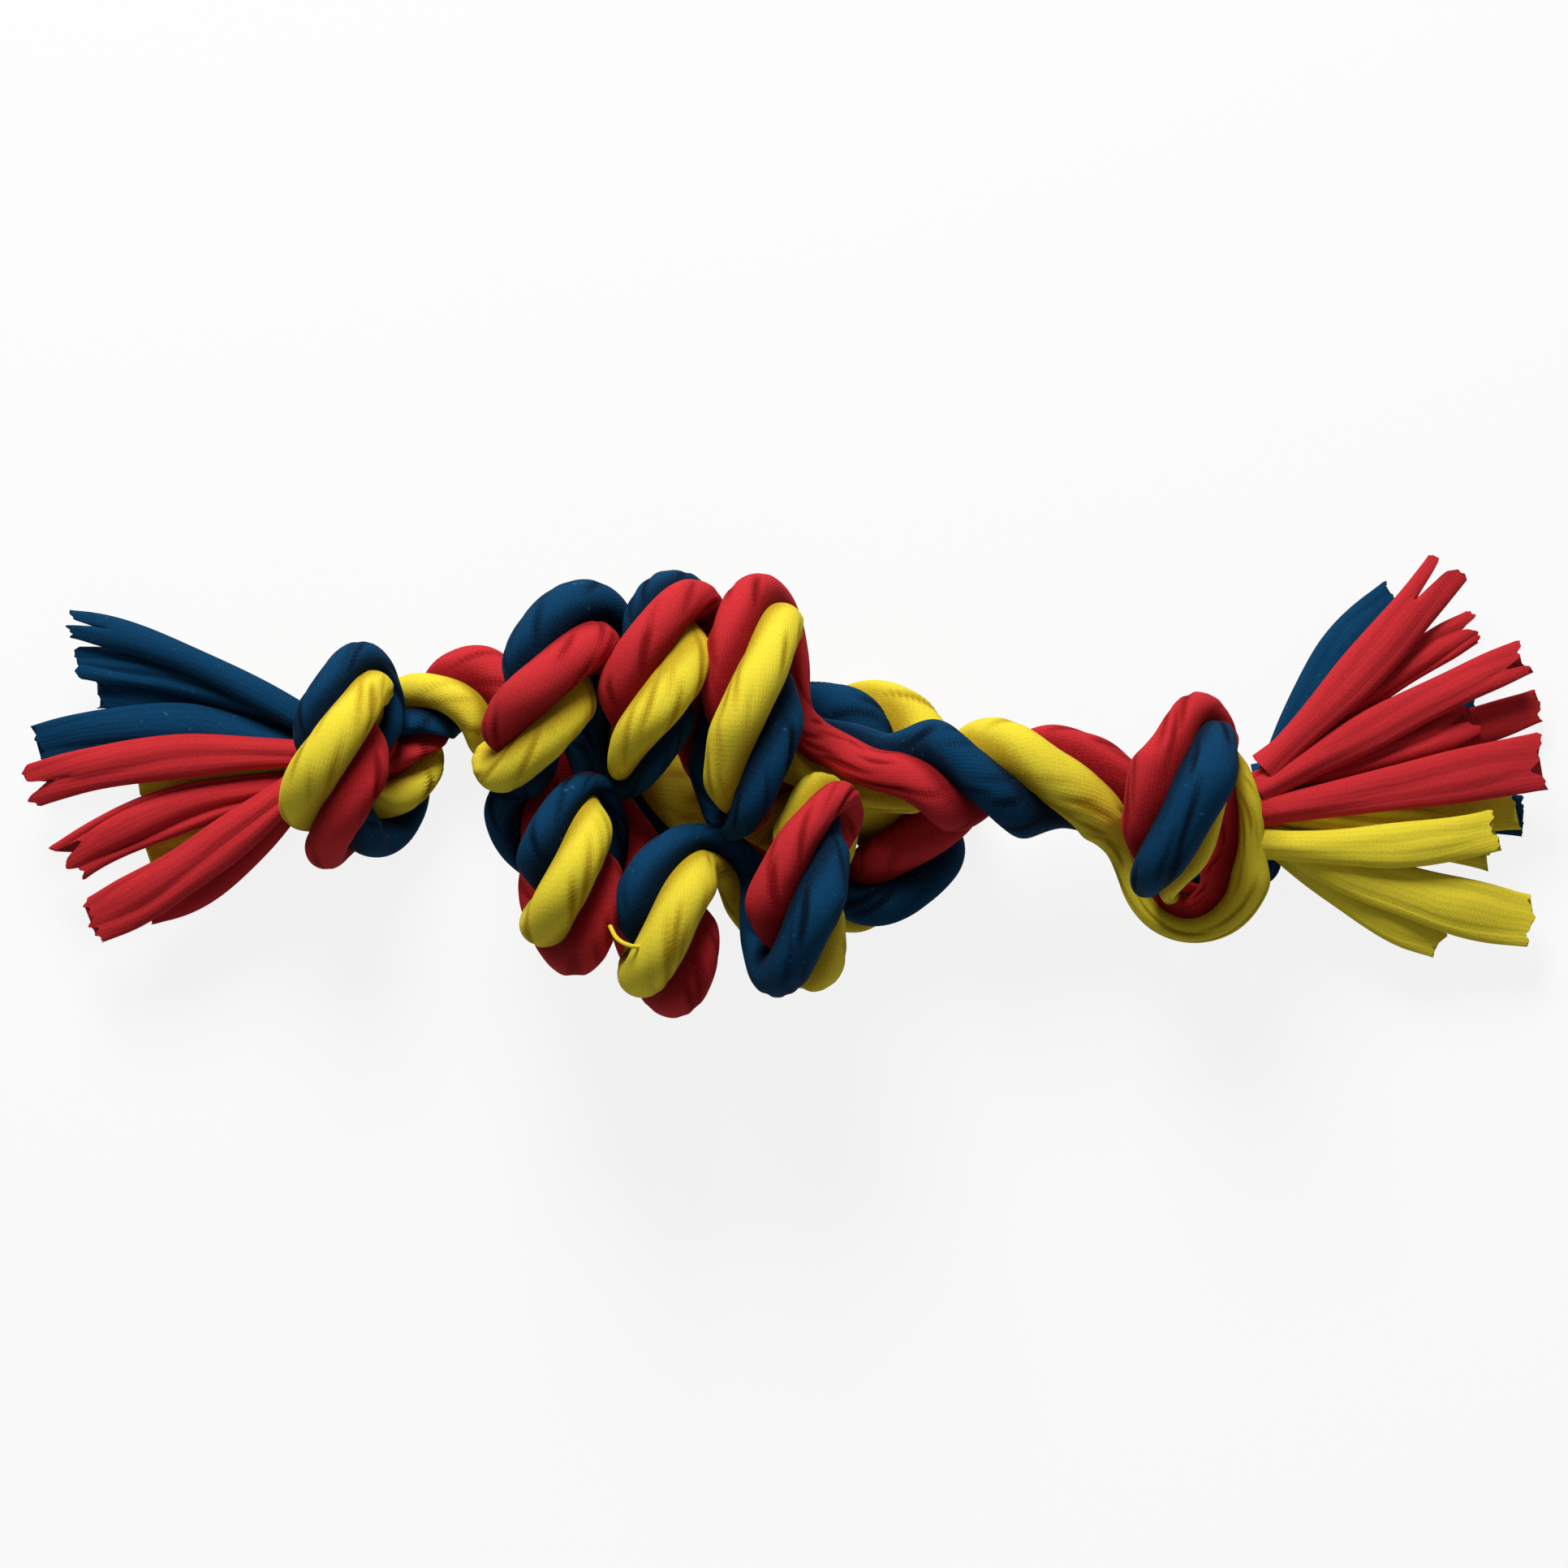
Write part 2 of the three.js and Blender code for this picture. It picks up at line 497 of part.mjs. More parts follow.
// One jersey strip of a tassel: a flat six-sided section along a bowed line from root to tip.
function stripGeometry(root, outward, strip) {
  const [, , level, across, tipX, tipY, bow, width] = strip;
  const start = new THREE.Vector2(root.x, root.y + across);
  const tip = new THREE.Vector2(tipX, tipY);
  const run = tip.clone().sub(start);
  const normal = new THREE.Vector2(-run.y, run.x).normalize();
  if (normal.y < 0) normal.negate();
  const middle = start.clone().addScaledVector(run, 0.5).addScaledVector(normal, 2 * bow);
  middle.x += outward * STRIP_LEAD * run.length();
  const rings = [];
  for (let k = 0; k < STRIP_RINGS; k++) {
    const u = k / (STRIP_RINGS - 1);
    const plan = start.clone().multiplyScalar((1 - u) ** 2)
      .addScaledVector(middle, 2 * u * (1 - u)).addScaledVector(tip, u * u);
    const slope = middle.clone().sub(start).multiplyScalar(1 - u).addScaledVector(tip.clone().sub(middle), u);
    if (k === 0) slope.set(outward, 0);
    const sideways = new THREE.Vector2(-slope.y, slope.x).normalize();
    const away = plan.distanceTo(start);
    const droop = TASSEL_DROOP * (away / DROOP_LENGTH) ** DROOP_POWER;
    const z = root.z + (level - MIDDLE_LEVEL) * LEVEL_STEP - droop;
    const half = (STRIP_ROOT_WIDTH + (width - STRIP_ROOT_WIDTH) * ease(away, 0, STRIP_OPENING)) / 2;
    const edge = half - STRIP_THICKNESS * STRIP_EDGE;
    const section = [[-half, 0], [-edge, -1], [edge, -1], [half, 0], [edge, 1], [-edge, 1]];
    rings.push(section.map(([w, t]) => new THREE.Vector3(
      plan.x + sideways.x * w, plan.y + sideways.y * w, z + (t * STRIP_THICKNESS) / 2,
    )));
  }
  return solidFromRings(rings, () => false);
}

const toy = new THREE.Group();
function addPiece(name, colour, geometry) {
  geometry.computeVertexNormals();
  const look = { color: STRANDS[colour].colour, roughness: 0.92, metalness: 0 };
  const mesh = new THREE.Mesh(geometry, new THREE.MeshStandardMaterial(look));
  mesh.name = name;
  toy.add(mesh);
}

const rope = makeRope();
const lowest = Math.min(...rope.points.map((p, i) => p.z - rope.radius[i]));
for (const p of rope.points) p.z -= lowest + FLOOR_FLAT;
console.log(`rope length ${(SAMPLE * (rope.points.length - 1)).toFixed(1)} mm`);
console.log(`least gap between passes of the rope ${leastGap(rope).toFixed(2)} mm`);

const lastSample = rope.points.length - 1;
const cut = CUT_GAP / SAMPLE;
const stations = [LEFT_KNOT_END, LEFT_NECK_END, RIGHT_NECK_START, RIGHT_KNOT_START]
  .map((place) => nearest(rope.points, place));
const bodies = [
  ['left_knot', 0, stations[0]],
  ['left_neck', stations[0] + cut, stations[1]],
  ['centre_knot', stations[1] + cut, stations[2]],
  ['right_neck', stations[2] + cut, stations[3]],
  ['right_knot', stations[3] + cut, lastSample],
];
for (const [body, first, last] of bodies) {
  for (const colour of Object.keys(STRANDS)) {
    addPiece(`${body}_${colour}`, colour, pressedFlat(strandGeometry(rope, colour, first, last)));
  }
}

const leftRoot = rope.points[0].clone();
leftRoot.x -= ROOT_GAP;
for (const strip of LEFT_STRIPS) {
  addPiece(`left_strip_${strip[0]}`, strip[1], stripGeometry(leftRoot, -1, strip));
}
const rightRoot = rope.points[lastSample].clone();
rightRoot.x += ROOT_GAP;
for (const strip of RIGHT_STRIPS) {
  addPiece(`right_strip_${strip[0]}`, strip[1], stripGeometry(rightRoot, 1, strip));
}

export default toy;
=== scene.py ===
# %% [markdown]
# A rope dog toy: three strands of cotton jersey, blue, red and yellow, laid into one rope. The rope
# has a big knot in its middle, an overhand knot near each end, and tassels of cut jersey strips.
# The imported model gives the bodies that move. Everything here is drawn in its frame, in metres.

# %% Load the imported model
import json

import bpy
import numpy as np
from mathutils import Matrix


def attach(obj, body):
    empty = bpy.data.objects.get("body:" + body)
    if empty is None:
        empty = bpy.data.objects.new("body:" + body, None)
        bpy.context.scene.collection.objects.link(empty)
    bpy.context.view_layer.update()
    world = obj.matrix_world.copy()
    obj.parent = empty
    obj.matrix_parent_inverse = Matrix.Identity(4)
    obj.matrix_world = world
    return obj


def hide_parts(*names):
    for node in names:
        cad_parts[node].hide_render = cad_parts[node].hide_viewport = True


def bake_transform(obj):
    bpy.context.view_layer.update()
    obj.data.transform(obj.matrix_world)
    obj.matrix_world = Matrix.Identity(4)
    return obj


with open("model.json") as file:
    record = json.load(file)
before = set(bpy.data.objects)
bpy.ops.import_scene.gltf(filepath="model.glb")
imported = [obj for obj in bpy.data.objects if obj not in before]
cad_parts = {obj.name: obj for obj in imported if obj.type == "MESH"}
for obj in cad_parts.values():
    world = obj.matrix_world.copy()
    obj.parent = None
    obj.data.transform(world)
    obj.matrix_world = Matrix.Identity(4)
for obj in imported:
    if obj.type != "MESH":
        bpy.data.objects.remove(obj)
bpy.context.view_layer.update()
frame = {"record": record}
MM = 0.001
TURN = 2 * np.pi

# %% [markdown]
# The photograph looks straight down on the toy, with +Y at the top of the picture. A camera that has
# not been turned looks down -Z with +Y up, so it only needs a height and an angle of view. A long
# way off, it shows hardly any perspective, as a product shot does.

# %% Camera
PICTURE_PIXELS = 1932
PIXEL_SIZE = 0.16 * MM          # of the toy's floor plan in the photograph
CAMERA_HEIGHT = 3.00
FOCUS_HEIGHT = 0.030            # height at which the photograph's scale holds
CAMERA_X = -PIXEL_SIZE          # the picture's middle lies a pixel to the left of the toy's
FARTHEST_SEEN = 20

camera_data = bpy.data.cameras.new("camera")
camera_data.sensor_fit = "HORIZONTAL"
half_width = 0.5 * PICTURE_PIXELS * PIXEL_SIZE
camera_data.angle = 2 * np.arctan(half_width / (CAMERA_HEIGHT - FOCUS_HEIGHT))
camera_data.clip_end = FARTHEST_SEEN
camera = bpy.data.objects.new("camera", camera_data)
camera.location = (CAMERA_X, 0, CAMERA_HEIGHT)
bpy.context.scene.collection.objects.link(camera)
bpy.context.scene.camera = camera
print("angle of view", round(np.degrees(camera_data.angle), 2), "degrees")

# %% [markdown]
# The toy is lit from the top of the picture, softly, and its lower sides fall off into deep shade.
# One wide lamp does that, a weak one fills in from the front, and the world adds a little from all
# round. Their strengths are chosen so that a colour renders about as it is written.

# %% Light
WORLD_STRENGTH = 0.13


def soft_lamp(name, place, size, watts):
    """A square lamp at place that faces the origin: its back, +Z, points straight away from there."""
    data = bpy.data.lights.new(name, "AREA")
    data.size = size
    data.energy = watts
    lamp = bpy.data.objects.new(name, data)
    lamp.location = place
    lamp.rotation_euler = lamp.location.to_track_quat("Z", "Y").to_euler()
    bpy.context.scene.collection.objects.link(lamp)


soft_lamp("key_lamp", place=(-0.20, 0.92, 0.74), size=0.50, watts=16.5)
soft_lamp("fill_lamp", place=(0.30, -0.75, 0.80), size=1.00, watts=0.7)

world = bpy.data.worlds.new("studio")
bpy.context.scene.world = world
world.use_nodes = True
background = world.node_tree.nodes["Background"]
background.inputs["Color"].default_value = (1.0, 1.0, 1.0, 1.0)
background.inputs["Strength"].default_value = WORLD_STRENGTH
bpy.context.scene.view_settings.view_transform = "Standard"

# %% [markdown]
# Materials are node trees. Writing their sums as Python expressions keeps them readable: a Wire
# stands for one socket, and adding or multiplying Wires adds a Math node to the tree. Every other
# node comes from one method that takes the node's type, its settings and what goes into its sockets.

# %% Node helper
class Wire:
    """One output socket, with arithmetic that adds Math nodes."""

    def __init__(self, tree, socket):
        self.tree = tree
        self.socket = socket

    @classmethod
    def node(cls, tree, kind, settings=None, sockets=None, output=0):
        """Adds a shader node, sets it up, fills or links its sockets and returns one output."""
        made = tree.nodes.new("ShaderNode" + kind)
        for key, value in (settings or {}).items():
            setattr(made, key, value)
        for key, value in (sockets or {}).items():
            if isinstance(value, cls):
                tree.links.new(value.socket, made.inputs[key])
            else:
                made.inputs[key].default_value = value
        return cls(tree, made.outputs[output])

    def _math(self, operation, first, second):
        """A Math node on two values, each a Wire or a number."""
        return Wire.node(self.tree, "Math", {"operation": operation}, {0: first, 1: second})

    def __add__(self, other):
        return self._math("ADD", self, other)

    def __mul__(self, other):
        return self._math("MULTIPLY", self, other)

    def __sub__(self, other):
        return self._math("SUBTRACT", self, other)

    def __rsub__(self, other):
        return self._math("SUBTRACT", other, self)

    __radd__ = __add__
    __rmul__ = __mul__


def sine(value):
    """The sine of a Wire."""
    return Wire.node(value.tree, "Math", {"operation": "SINE"}, {0: value})


def step_up(value, low, high):
    """0 below low, 1 above high, and smooth between."""
    settings = {"interpolation_type": "SMOOTHSTEP"}
    sockets = {"Value": value, "From Min": low, "From Max": high}
    return Wire.node(value.tree, "MapRange", settings, sockets)


def blend_colour(factor, first, second):
    """first where factor is 0 and second where it is 1. Colour inputs 6 and 7 give colour output 2."""
    return Wire.node(factor.tree, "Mix", {"data_type": "RGBA"}, {0: factor, 6: first, 7: second}, 2)


print("shader helpers", [helper.__name__ for helper in (Wire, sine, step_up, blend_colour)])

# %% [markdown]
# The floor is a pale sheet. Seen by the camera it is close to white, as in the photograph, and it
# still takes the toy's shadow.

# %% Floor
FLOOR_HALF = 3.0
WHITE_SHARE = 0.86              # of the floor's look to the camera that is plain white
WHITE = (1, 1, 1, 1)
PALE = (0.86, 0.86, 0.86, 1)

floor_mesh = bpy.data.meshes.new("floor")
corners = [(-FLOOR_HALF, -FLOOR_HALF, 0), (FLOOR_HALF, -FLOOR_HALF, 0),
           (FLOOR_HALF, FLOOR_HALF, 0), (-FLOOR_HALF, FLOOR_HALF, 0)]
floor_mesh.from_pydata(corners, [], [(0, 1, 2, 3)])
floor = bpy.data.objects.new("floor", floor_mesh)
bpy.context.scene.collection.objects.link(floor)

floor_material = bpy.data.materials.new("pale_floor")
floor_material.use_nodes = True
tree = floor_material.node_tree
tree.nodes.remove(tree.nodes["Principled BSDF"])
white = Wire.node(tree, "Emission", None, {"Color": WHITE, "Strength": 1.0})
matt = Wire.node(tree, "BsdfDiffuse", None, {"Color": PALE})
by_camera, by_gloss, by_glass = (Wire.node(tree, "LightPath", None, None, name) for name in (
    "Is Camera Ray", "Is Glossy Ray", "Is Transmission Ray"))
seen = by_camera + by_gloss + by_glass
surface = Wire.node(tree, "MixShader", None, {0: seen * WHITE_SHARE, 1: matt, 2: white})
tree.links.new(surface.socket, tree.nodes["Material Output"].inputs["Surface"])
floor_mesh.materials.append(floor_material)
print("floor", 2 * FLOOR_HALF, "m wide")

# %% [markdown]
# The rope follows one long line: out of the left tassel, through the left knot, behind the centre
# knot, round a lower coil of three wraps, across, round an upper coil of three wraps, and out
# through the right knot. All of it could be drawn by hand, but a formula keeps the six wraps alike.
# So only the stretches outside the coils go through chosen points. Each point has a fourth number,
# the rope's fullness there: below 1 it is squeezed.

# %% Route of the rope
ROPE_RADIUS = 11.0 * MM         # of the laid rope where nothing squeezes it
COIL_HEIGHT = 39.2 * MM         # of the two coils' axes over the floor
WRAP_RADIUS = 11.3 * MM         # from a coil's axis to the rope's middle
WRAP_FULLNESS = 0.98            # of a wrap's front, over the rope's own radius
NEST_FULLNESS = 0.78            # where the wraps press on each other

# Degrees round a wrap, from the middle of its front
GOES_UNDER = (80, 150)          # where it goes under its neighbours
COMES_OUT = (265, 325)          # where it comes out again
WRAP_CHANGE = (100, 270)        # where it takes on the next wrap's form
COIL_STEP = 30                  # from one point of a coil to the next
LOWER_RANGE = (-60, 185)        # from before the first front to behind the last one
UPPER_RANGE = (-75, 200)

# x of a wrap's front, y of its axis, half its straight front, lean. The last line ends the coil.
UPPER_WRAPS = np.array([
    [-47.2, 18.0, 1.6, 6.0],
    [-26.0, 18.0, 5.4, 4.2],
    [-6.8, 13.4, 8.4, 1.5],
    [2.0, 14.0, 5.0, 1.0],
]) * MM
LOWER_WRAPS = np.array([
    [3.4, -17.8, 5.0, 1.2],
    [-23.0, -25.0, 0.8, 0.4],
    [-42.0, -14.6, 2.4, 0.0],
    [-57.0, -15.8, 0.8, 1.5],
]) * MM
# Degrees in which each wrap moves on to the next
LOWER_SHIFT = [(70, 360), (100, 340), (90, 360)]
UPPER_SHIFT = [(45, 300)] * 3
LOWER_ENTRY = np.array([3.5, 1.0]) * MM   # how far the lower coil's first points stand aside along X

# Outside the coils: x, y and z in millimetres and the fullness, from the left tassel to the right one
LEFT_END_ROUTE = [
    (-97.5, 5.0, 18.5, 0.98), (-93.8, 5.0, 18.5, 0.72), (-89.5, 5.3, 20.6, 0.42),
    (-84.6, 5.8, 21.6, 0.40), (-79.8, 8.6, 20.5, 0.48), (-79.4, 14.5, 20.0, 0.58),
    (-82.0, 20.4, 24.5, 0.70), (-84.5, 20.4, 31.0, 0.82), (-86.6, 14.0, 35.4, 0.94),
    (-88.2, 5.6, 36.6, 1.00), (-90.4, -2.6, 33.2, 1.04), (-90.2, -7.8, 22.5, 0.96),
    (-85.6, -8.4, 11.6, 0.82), (-80.0, -5.2, 7.8, 0.78), (-76.2, 1.5, 8.2, 0.80),
    (-75.2, 9.2, 10.6, 0.84), (-71.8, 15.4, 12.8, 0.96), (-66.0, 17.6, 13.4, 1.06),
]
BACK_ROUTE = [
    (-58.5, 16.4, 12.4, 1.02), (-45.0, 9.0, 10.0, 0.96), (-31.0, -2.0, 9.2, 0.94),
    (-17.0, -6.6, 9.2, 0.96), (-4.6, -2.6, 9.6, 0.98), (6.0, 8.6, 11.2, 0.92),
    (15.4, 11.6, 12.0, 0.90), (22.4, 5.4, 11.4, 1.00), (24.2, -4.6, 11.2, 1.06),
    (22.8, -14.2, 10.8, 1.04), (18.2, -21.0, 10.4, 0.88), (9.0, -22.0, 8.6, 0.80),
    (3.4, -18.0, 9.4, 0.78), (5.0, -13.0, 19.0, 0.77), (8.0, -8.2, 30.0, 0.78),
]
CROSSING_ROUTE = [(-51.0, -6.0, 26.5, 0.80), (-53.0, 4.0, 31.0, 0.80)]
RIGHT_END_ROUTE = [
    (4.0, 7.4, 26.5, 0.78), (11.0, 5.6, 27.5, 0.84), (19.0, 2.4, 31.0, 0.94),
    (27.0, 2.4, 32.6, 1.02), (36.0, 1.6, 32.0, 1.06), (47.0, 1.2, 29.6, 1.08),
    (57.0, -0.4, 26.0, 1.08), (64.0, -4.8, 22.4, 1.00), (68.0, -11.4, 19.6, 0.90),
    (69.8, -18.8, 18.4, 0.90), (74.2, -25.4, 18.0, 1.00), (81.0, -27.6, 18.4, 1.04),
    (87.8, -23.4, 19.0, 1.02), (90.8, -14.6, 19.6, 0.96), (90.4, -5.5, 21.4, 0.70),
    (86.6, 1.6, 23.0, 0.60), (83.4, 7.6, 25.5, 0.62), (81.6, 10.8, 30.5, 0.78),
    (80.8, 9.6, 36.4, 1.02), (80.0, 3.6, 41.0, 1.12), (77.6, -4.0, 42.0, 1.08),
    (75.0, -11.4, 39.6, 0.98), (73.4, -17.6, 33.6, 0.90), (74.8, -20.6, 25.0, 0.72),
    (78.6, -20.6, 15.5, 0.58), (84.0, -20.0, 7.0, 0.56), (89.6, -19.0, 4.8, 0.60),
    (93.8, -14.0, 5.0, 0.64), (93.6, -9.0, 7.8, 0.58), (92.4, -4.8, 13.0, 0.56),
    (93.8, -1.7, 16.2, 0.66), (96.0, -1.4, 16.5, 0.84), (98.6, -1.4, 16.5, 0.98),
]
print("chosen points", len(LEFT_END_ROUTE + BACK_ROUTE + CROSSING_ROUTE + RIGHT_END_ROUTE))

# %% [markdown]
# A coil is wound like thread on a reel. Each wrap is a circle with a straight stretch at its front,
# and while it passes behind, it moves along to where the next wrap starts. A formula gives the points
# of both coils, so that a wrap is changed by one line of numbers.

# %% Coils
def ease(value, low, high):
    """0 up to low, 1 from high, and the cubic 3u^2 - 2u^3 between."""
    u = np.clip((value - low) / (high - low), 0, 1)
    return u * u * (3 - 2 * u)


def coil(wraps, side, shift, first, last):
    """Points at even steps round each wrap: a circle of the wrap radius with a straight front.

    y = axis + side * (radius * sin a + straight * (1.5 sin a - 0.5 sin^3 a)) and
    z = coil height + radius * cos a, while x moves on to the next wrap inside the shift's degrees.
    """
    rows = []
    for k in range(len(wraps) - 1):
        start = first if k == 0 else 0
        stop = last if k == len(wraps) - 2 else 360
        degrees = np.arange(start, stop, COIL_STEP)
        moved = ease(degrees, *shift[k])[:, None]
        grown = ease(degrees, *WRAP_CHANGE)[:, None]
        step = wraps[k + 1] - wraps[k]
        _, axis, straight, lean = (wraps[k] + step * grown).T
        x = wraps[k, 0] + step[0] * moved[:, 0]
        sin, cos = np.sin(np.radians(degrees)), np.cos(np.radians(degrees))
        y = axis + side * (WRAP_RADIUS * sin + straight * (1.5 * sin - 0.5 * sin ** 3))
        pressed = ease(degrees % 360, *GOES_UNDER) - ease(degrees % 360, *COMES_OUT)
        full = WRAP_FULLNESS + (NEST_FULLNESS - WRAP_FULLNESS) * pressed
        rows.append(np.column_stack([x + side * lean * sin, y, COIL_HEIGHT + WRAP_RADIUS * cos, full]))
    return np.vstack(rows)


def in_metres(points):
    """Route points with x, y and z in metres and the fullness as it is."""
    return np.array(points) * [MM, MM, MM, 1]


lower_coil = coil(LOWER_WRAPS, -1, LOWER_SHIFT, *LOWER_RANGE)
lower_coil[:2, 0] += LOWER_ENTRY
upper_coil = coil(UPPER_WRAPS, 1, UPPER_SHIFT, *UPPER_RANGE)
route = np.vstack([in_metres(LEFT_END_ROUTE), in_metres(BACK_ROUTE), lower_coil,
                   in_metres(CROSSING_ROUTE), upper_coil, in_metres(RIGHT_END_ROUTE)])
print("route points", len(route))

# %% [markdown]
# A smooth curve through the points is a Catmull-Rom spline. It is then measured off at even steps,
# eased a little so that no bend is a corner, and doubled once by a four-point rule, which gives the
# fine rings that the strands are drawn on.

# %% Smooth line
SAMPLE = 1.25 * MM              # spacing of the points that the line is measured on
SPAN_POINTS = 16                # of the curve between two points of the route
EASING = 8                      # passes that round off the curve


def curve_through(points, per_span):
    """Centripetal Catmull-Rom curve: knots spaced by the root of the distance, in all columns."""
    ends = [2 * points[0] - points[1]], [2 * points[-1] - points[-2]]
    p = np.vstack([ends[0], points, ends[1]])
    gap = np.sqrt(np.linalg.norm(np.diff(p[:, :3], axis=0), axis=1))
    t1, t2, t3 = (np.cumsum([gap[:-2], gap[1:-1], gap[2:]], axis=0))[:, :, None, None]
    u = np.arange(per_span)[None, :, None] / per_span
    t = t1 + (t2 - t1) * u
    p0, p1, p2, p3 = (p[k:len(p) - 3 + k, None, :] for k in range(4))

    def mix(a, b, low, high):
        """The straight line from a at low to b at high, taken at t."""
        return ((high - t) * a + (t - low) * b) / (high - low)

    left, middle, right = mix(p0, p1, 0, t1), mix(p1, p2, t1, t2), mix(p2, p3, t2, t3)
    curve = mix(mix(left, middle, 0, t2), mix(middle, right, t1, t3), t1, t2)
    return np.vstack([curve.reshape(-1, p.shape[1]), points[-1:]])


def evenly(curve, step, easing):
    """The curve at even spacing, each point then eased towards its two neighbours."""
    along = np.concatenate([[0], np.cumsum(np.linalg.norm(np.diff(curve[:, :3], axis=0), axis=1))])
    marks = np.linspace(0, along[-1], int(round(along[-1] / step)) + 1)
    rows = np.column_stack([np.interp(marks, along, column) for column in curve.T])
    for _ in range(easing):
        rows[1:-1] = 0.25 * rows[:-2] + 0.5 * rows[1:-1] + 0.25 * rows[2:]
    return rows


def doubled(rows):
    """A new row half way between each two, (-a + 9b + 9c - d) / 16 of the four around it."""
    padded = np.concatenate([rows[:1], rows, rows[-1:]])
    between = (9 * (padded[1:-2] + padded[2:-1]) - padded[:-3] - padded[3:]) / 16
    out = np.empty((2 * len(rows) - 1,) + rows.shape[1:])
    out[0::2], out[1::2] = rows, between
    return out


line = evenly(curve_through(route, SPAN_POINTS), SAMPLE, EASING)
rope_length = SAMPLE * (len(line) - 1)
print("rope", round(rope_length, 4), "m on its middle line")

# %% [markdown]
# Jersey is soft, so the rope is thick where it has room and thin where a knot squeezes it. The
# radius at a point is its fullness, but no more than its share of the distance to the nearest other
# pass of the rope, and no more than the bend there can take. Soft passes press into each other, so a
# little more than the bare distance is allowed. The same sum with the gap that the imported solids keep
# tells how far the route was let down, so that the floor presses its lowest passes flat.

# %% Squeezed radius
PRESSED_IN = 2.6 * MM           # how far two passes press into each other
FLOOR_FLAT = 2.2 * MM           # how deep the floor presses the lowest passes
PASS_GAP = 0.5 * MM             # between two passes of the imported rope
SAME_PASS = 3 * ROPE_RADIUS     # points that are nearer than this along the rope are one pass
FAR_APART = 1.0                 # stands for the distance inside one pass, so that it doesn't count
BEND_SHARE = 0.96               # of a bend's own radius that the rope may fill
BEND_POINTS = 3                 # to each side of a point, over which its bend is measured
LEAST_BEND = 1e-3               # a straight stretch counts as this much turn in a metre
NARROWING = 4                   # passes that ease a narrow place into its neighbours


def unit(v):
    """Vectors of length 1 along the last axis."""
    return v / np.linalg.norm(v, axis=-1, keepdims=True)


def squeezed_radius(points, fullness, allowed):
    """Least of the fullness, a share of the distance to other passes + allowed, and the bend's limit."""
    wanted = ROPE_RADIUS * fullness
    near = int(round(SAME_PASS / SAMPLE))
    apart = np.linalg.norm(points[:, None] - points[None], axis=2) + allowed
    count = np.arange(len(points))
    apart[np.abs(count[:, None] - count[None]) < near] = FAR_APART
    share = apart * wanted[:, None] / (wanted[:, None] + wanted[None])
    tangent = unit(np.gradient(points, axis=0))
    first = np.maximum(count - BEND_POINTS, 0)
    last = np.minimum(count + BEND_POINTS, len(points) - 1)
    turn = np.arccos(np.clip((tangent[first] * tangent[last]).sum(1), -1, 1))
    bend = turn / ((last - first) * SAMPLE)
    radius = np.minimum(wanted, share.min(1))
    radius = np.minimum(radius, BEND_SHARE / np.maximum(bend, LEAST_BEND))
    for _ in range(NARROWING):
        around = np.pad(radius, 1, mode="edge")
        low = np.minimum(np.minimum(around[:-2], around[1:-1]), around[2:])
        padded = np.pad(low, 1, mode="edge")
        radius = np.minimum(radius, 0.25 * padded[:-2] + 0.5 * padded[1:-1] + 0.25 * padded[2:])
    return radius


firm_radius = squeezed_radius(line[:, :3], line[:, 3], -PASS_GAP)
soft_radius = squeezed_radius(line[:, :3], line[:, 3], PRESSED_IN)
lowered = (line[:, 2] - firm_radius).min() + FLOOR_FLAT
middle = doubled(line[:, :3])
radius = doubled(soft_radius)
STEP = SAMPLE / 2
along = STEP * np.arange(len(middle))
print("radius from", round(radius.min() / MM, 1), "to", round(radius.max() / MM, 1), "mm")

# %% [markdown]
# Each ring of the rope needs two directions across the line. Carried from ring to ring by double
# reflection they never spin about the line, so the only turning is the lay of the strands. Directions
# taken from the vertical would be simpler, but they flip where the rope runs straight up.

# %% Directions across the line
SAME_WAY = 1e-14                # squared length under which two directions count as the same


def carried_directions(points):
    """Two unit vectors across the line at each point, carried by double reflection."""
    tangent = unit(np.gradient(points, axis=0))
    across = np.zeros_like(points)
    up = np.array([0.0, 0.0, 1.0])
    across[0] = unit(up - tangent[0] * (up @ tangent[0]))
    for i in range(len(points) - 1):
        v1 = points[i + 1] - points[i]
        moved = across[i] - 2 / (v1 @ v1) * (v1 @ across[i]) * v1
        turned = tangent[i] - 2 / (v1 @ v1) * (v1 @ tangent[i]) * v1
        v2 = tangent[i + 1] - turned
        c2 = v2 @ v2
        across[i + 1] = moved - 2 / c2 * (v2 @ moved) * v2 if c2 > SAME_WAY else moved
    return tangent, across, np.cross(tangent, across)


tangent, across, side = carried_directions(middle)
print("directions at", len(middle), "rings")

# %% [markdown]
# The strands are twisted round each other, which is the rope's lay. With one lay length all along, a
# wrap could show the wrong colour at its front. So the lay is set where the photograph shows which
# colour passes a place, and between two such places it makes the turns that come nearest to the lay
# length.

# %% Lay of the strands
LAY_LENGTH = 54.0 * MM          # one full turn of the strands
STRAND_TURN = {"red": 0.0, "blue": -1 / 3, "yellow": 1 / 3}   # place round the rope, in turns
OUT_OF_SIGHT = 1                # puts a ring that doesn't reach over a place below all that do

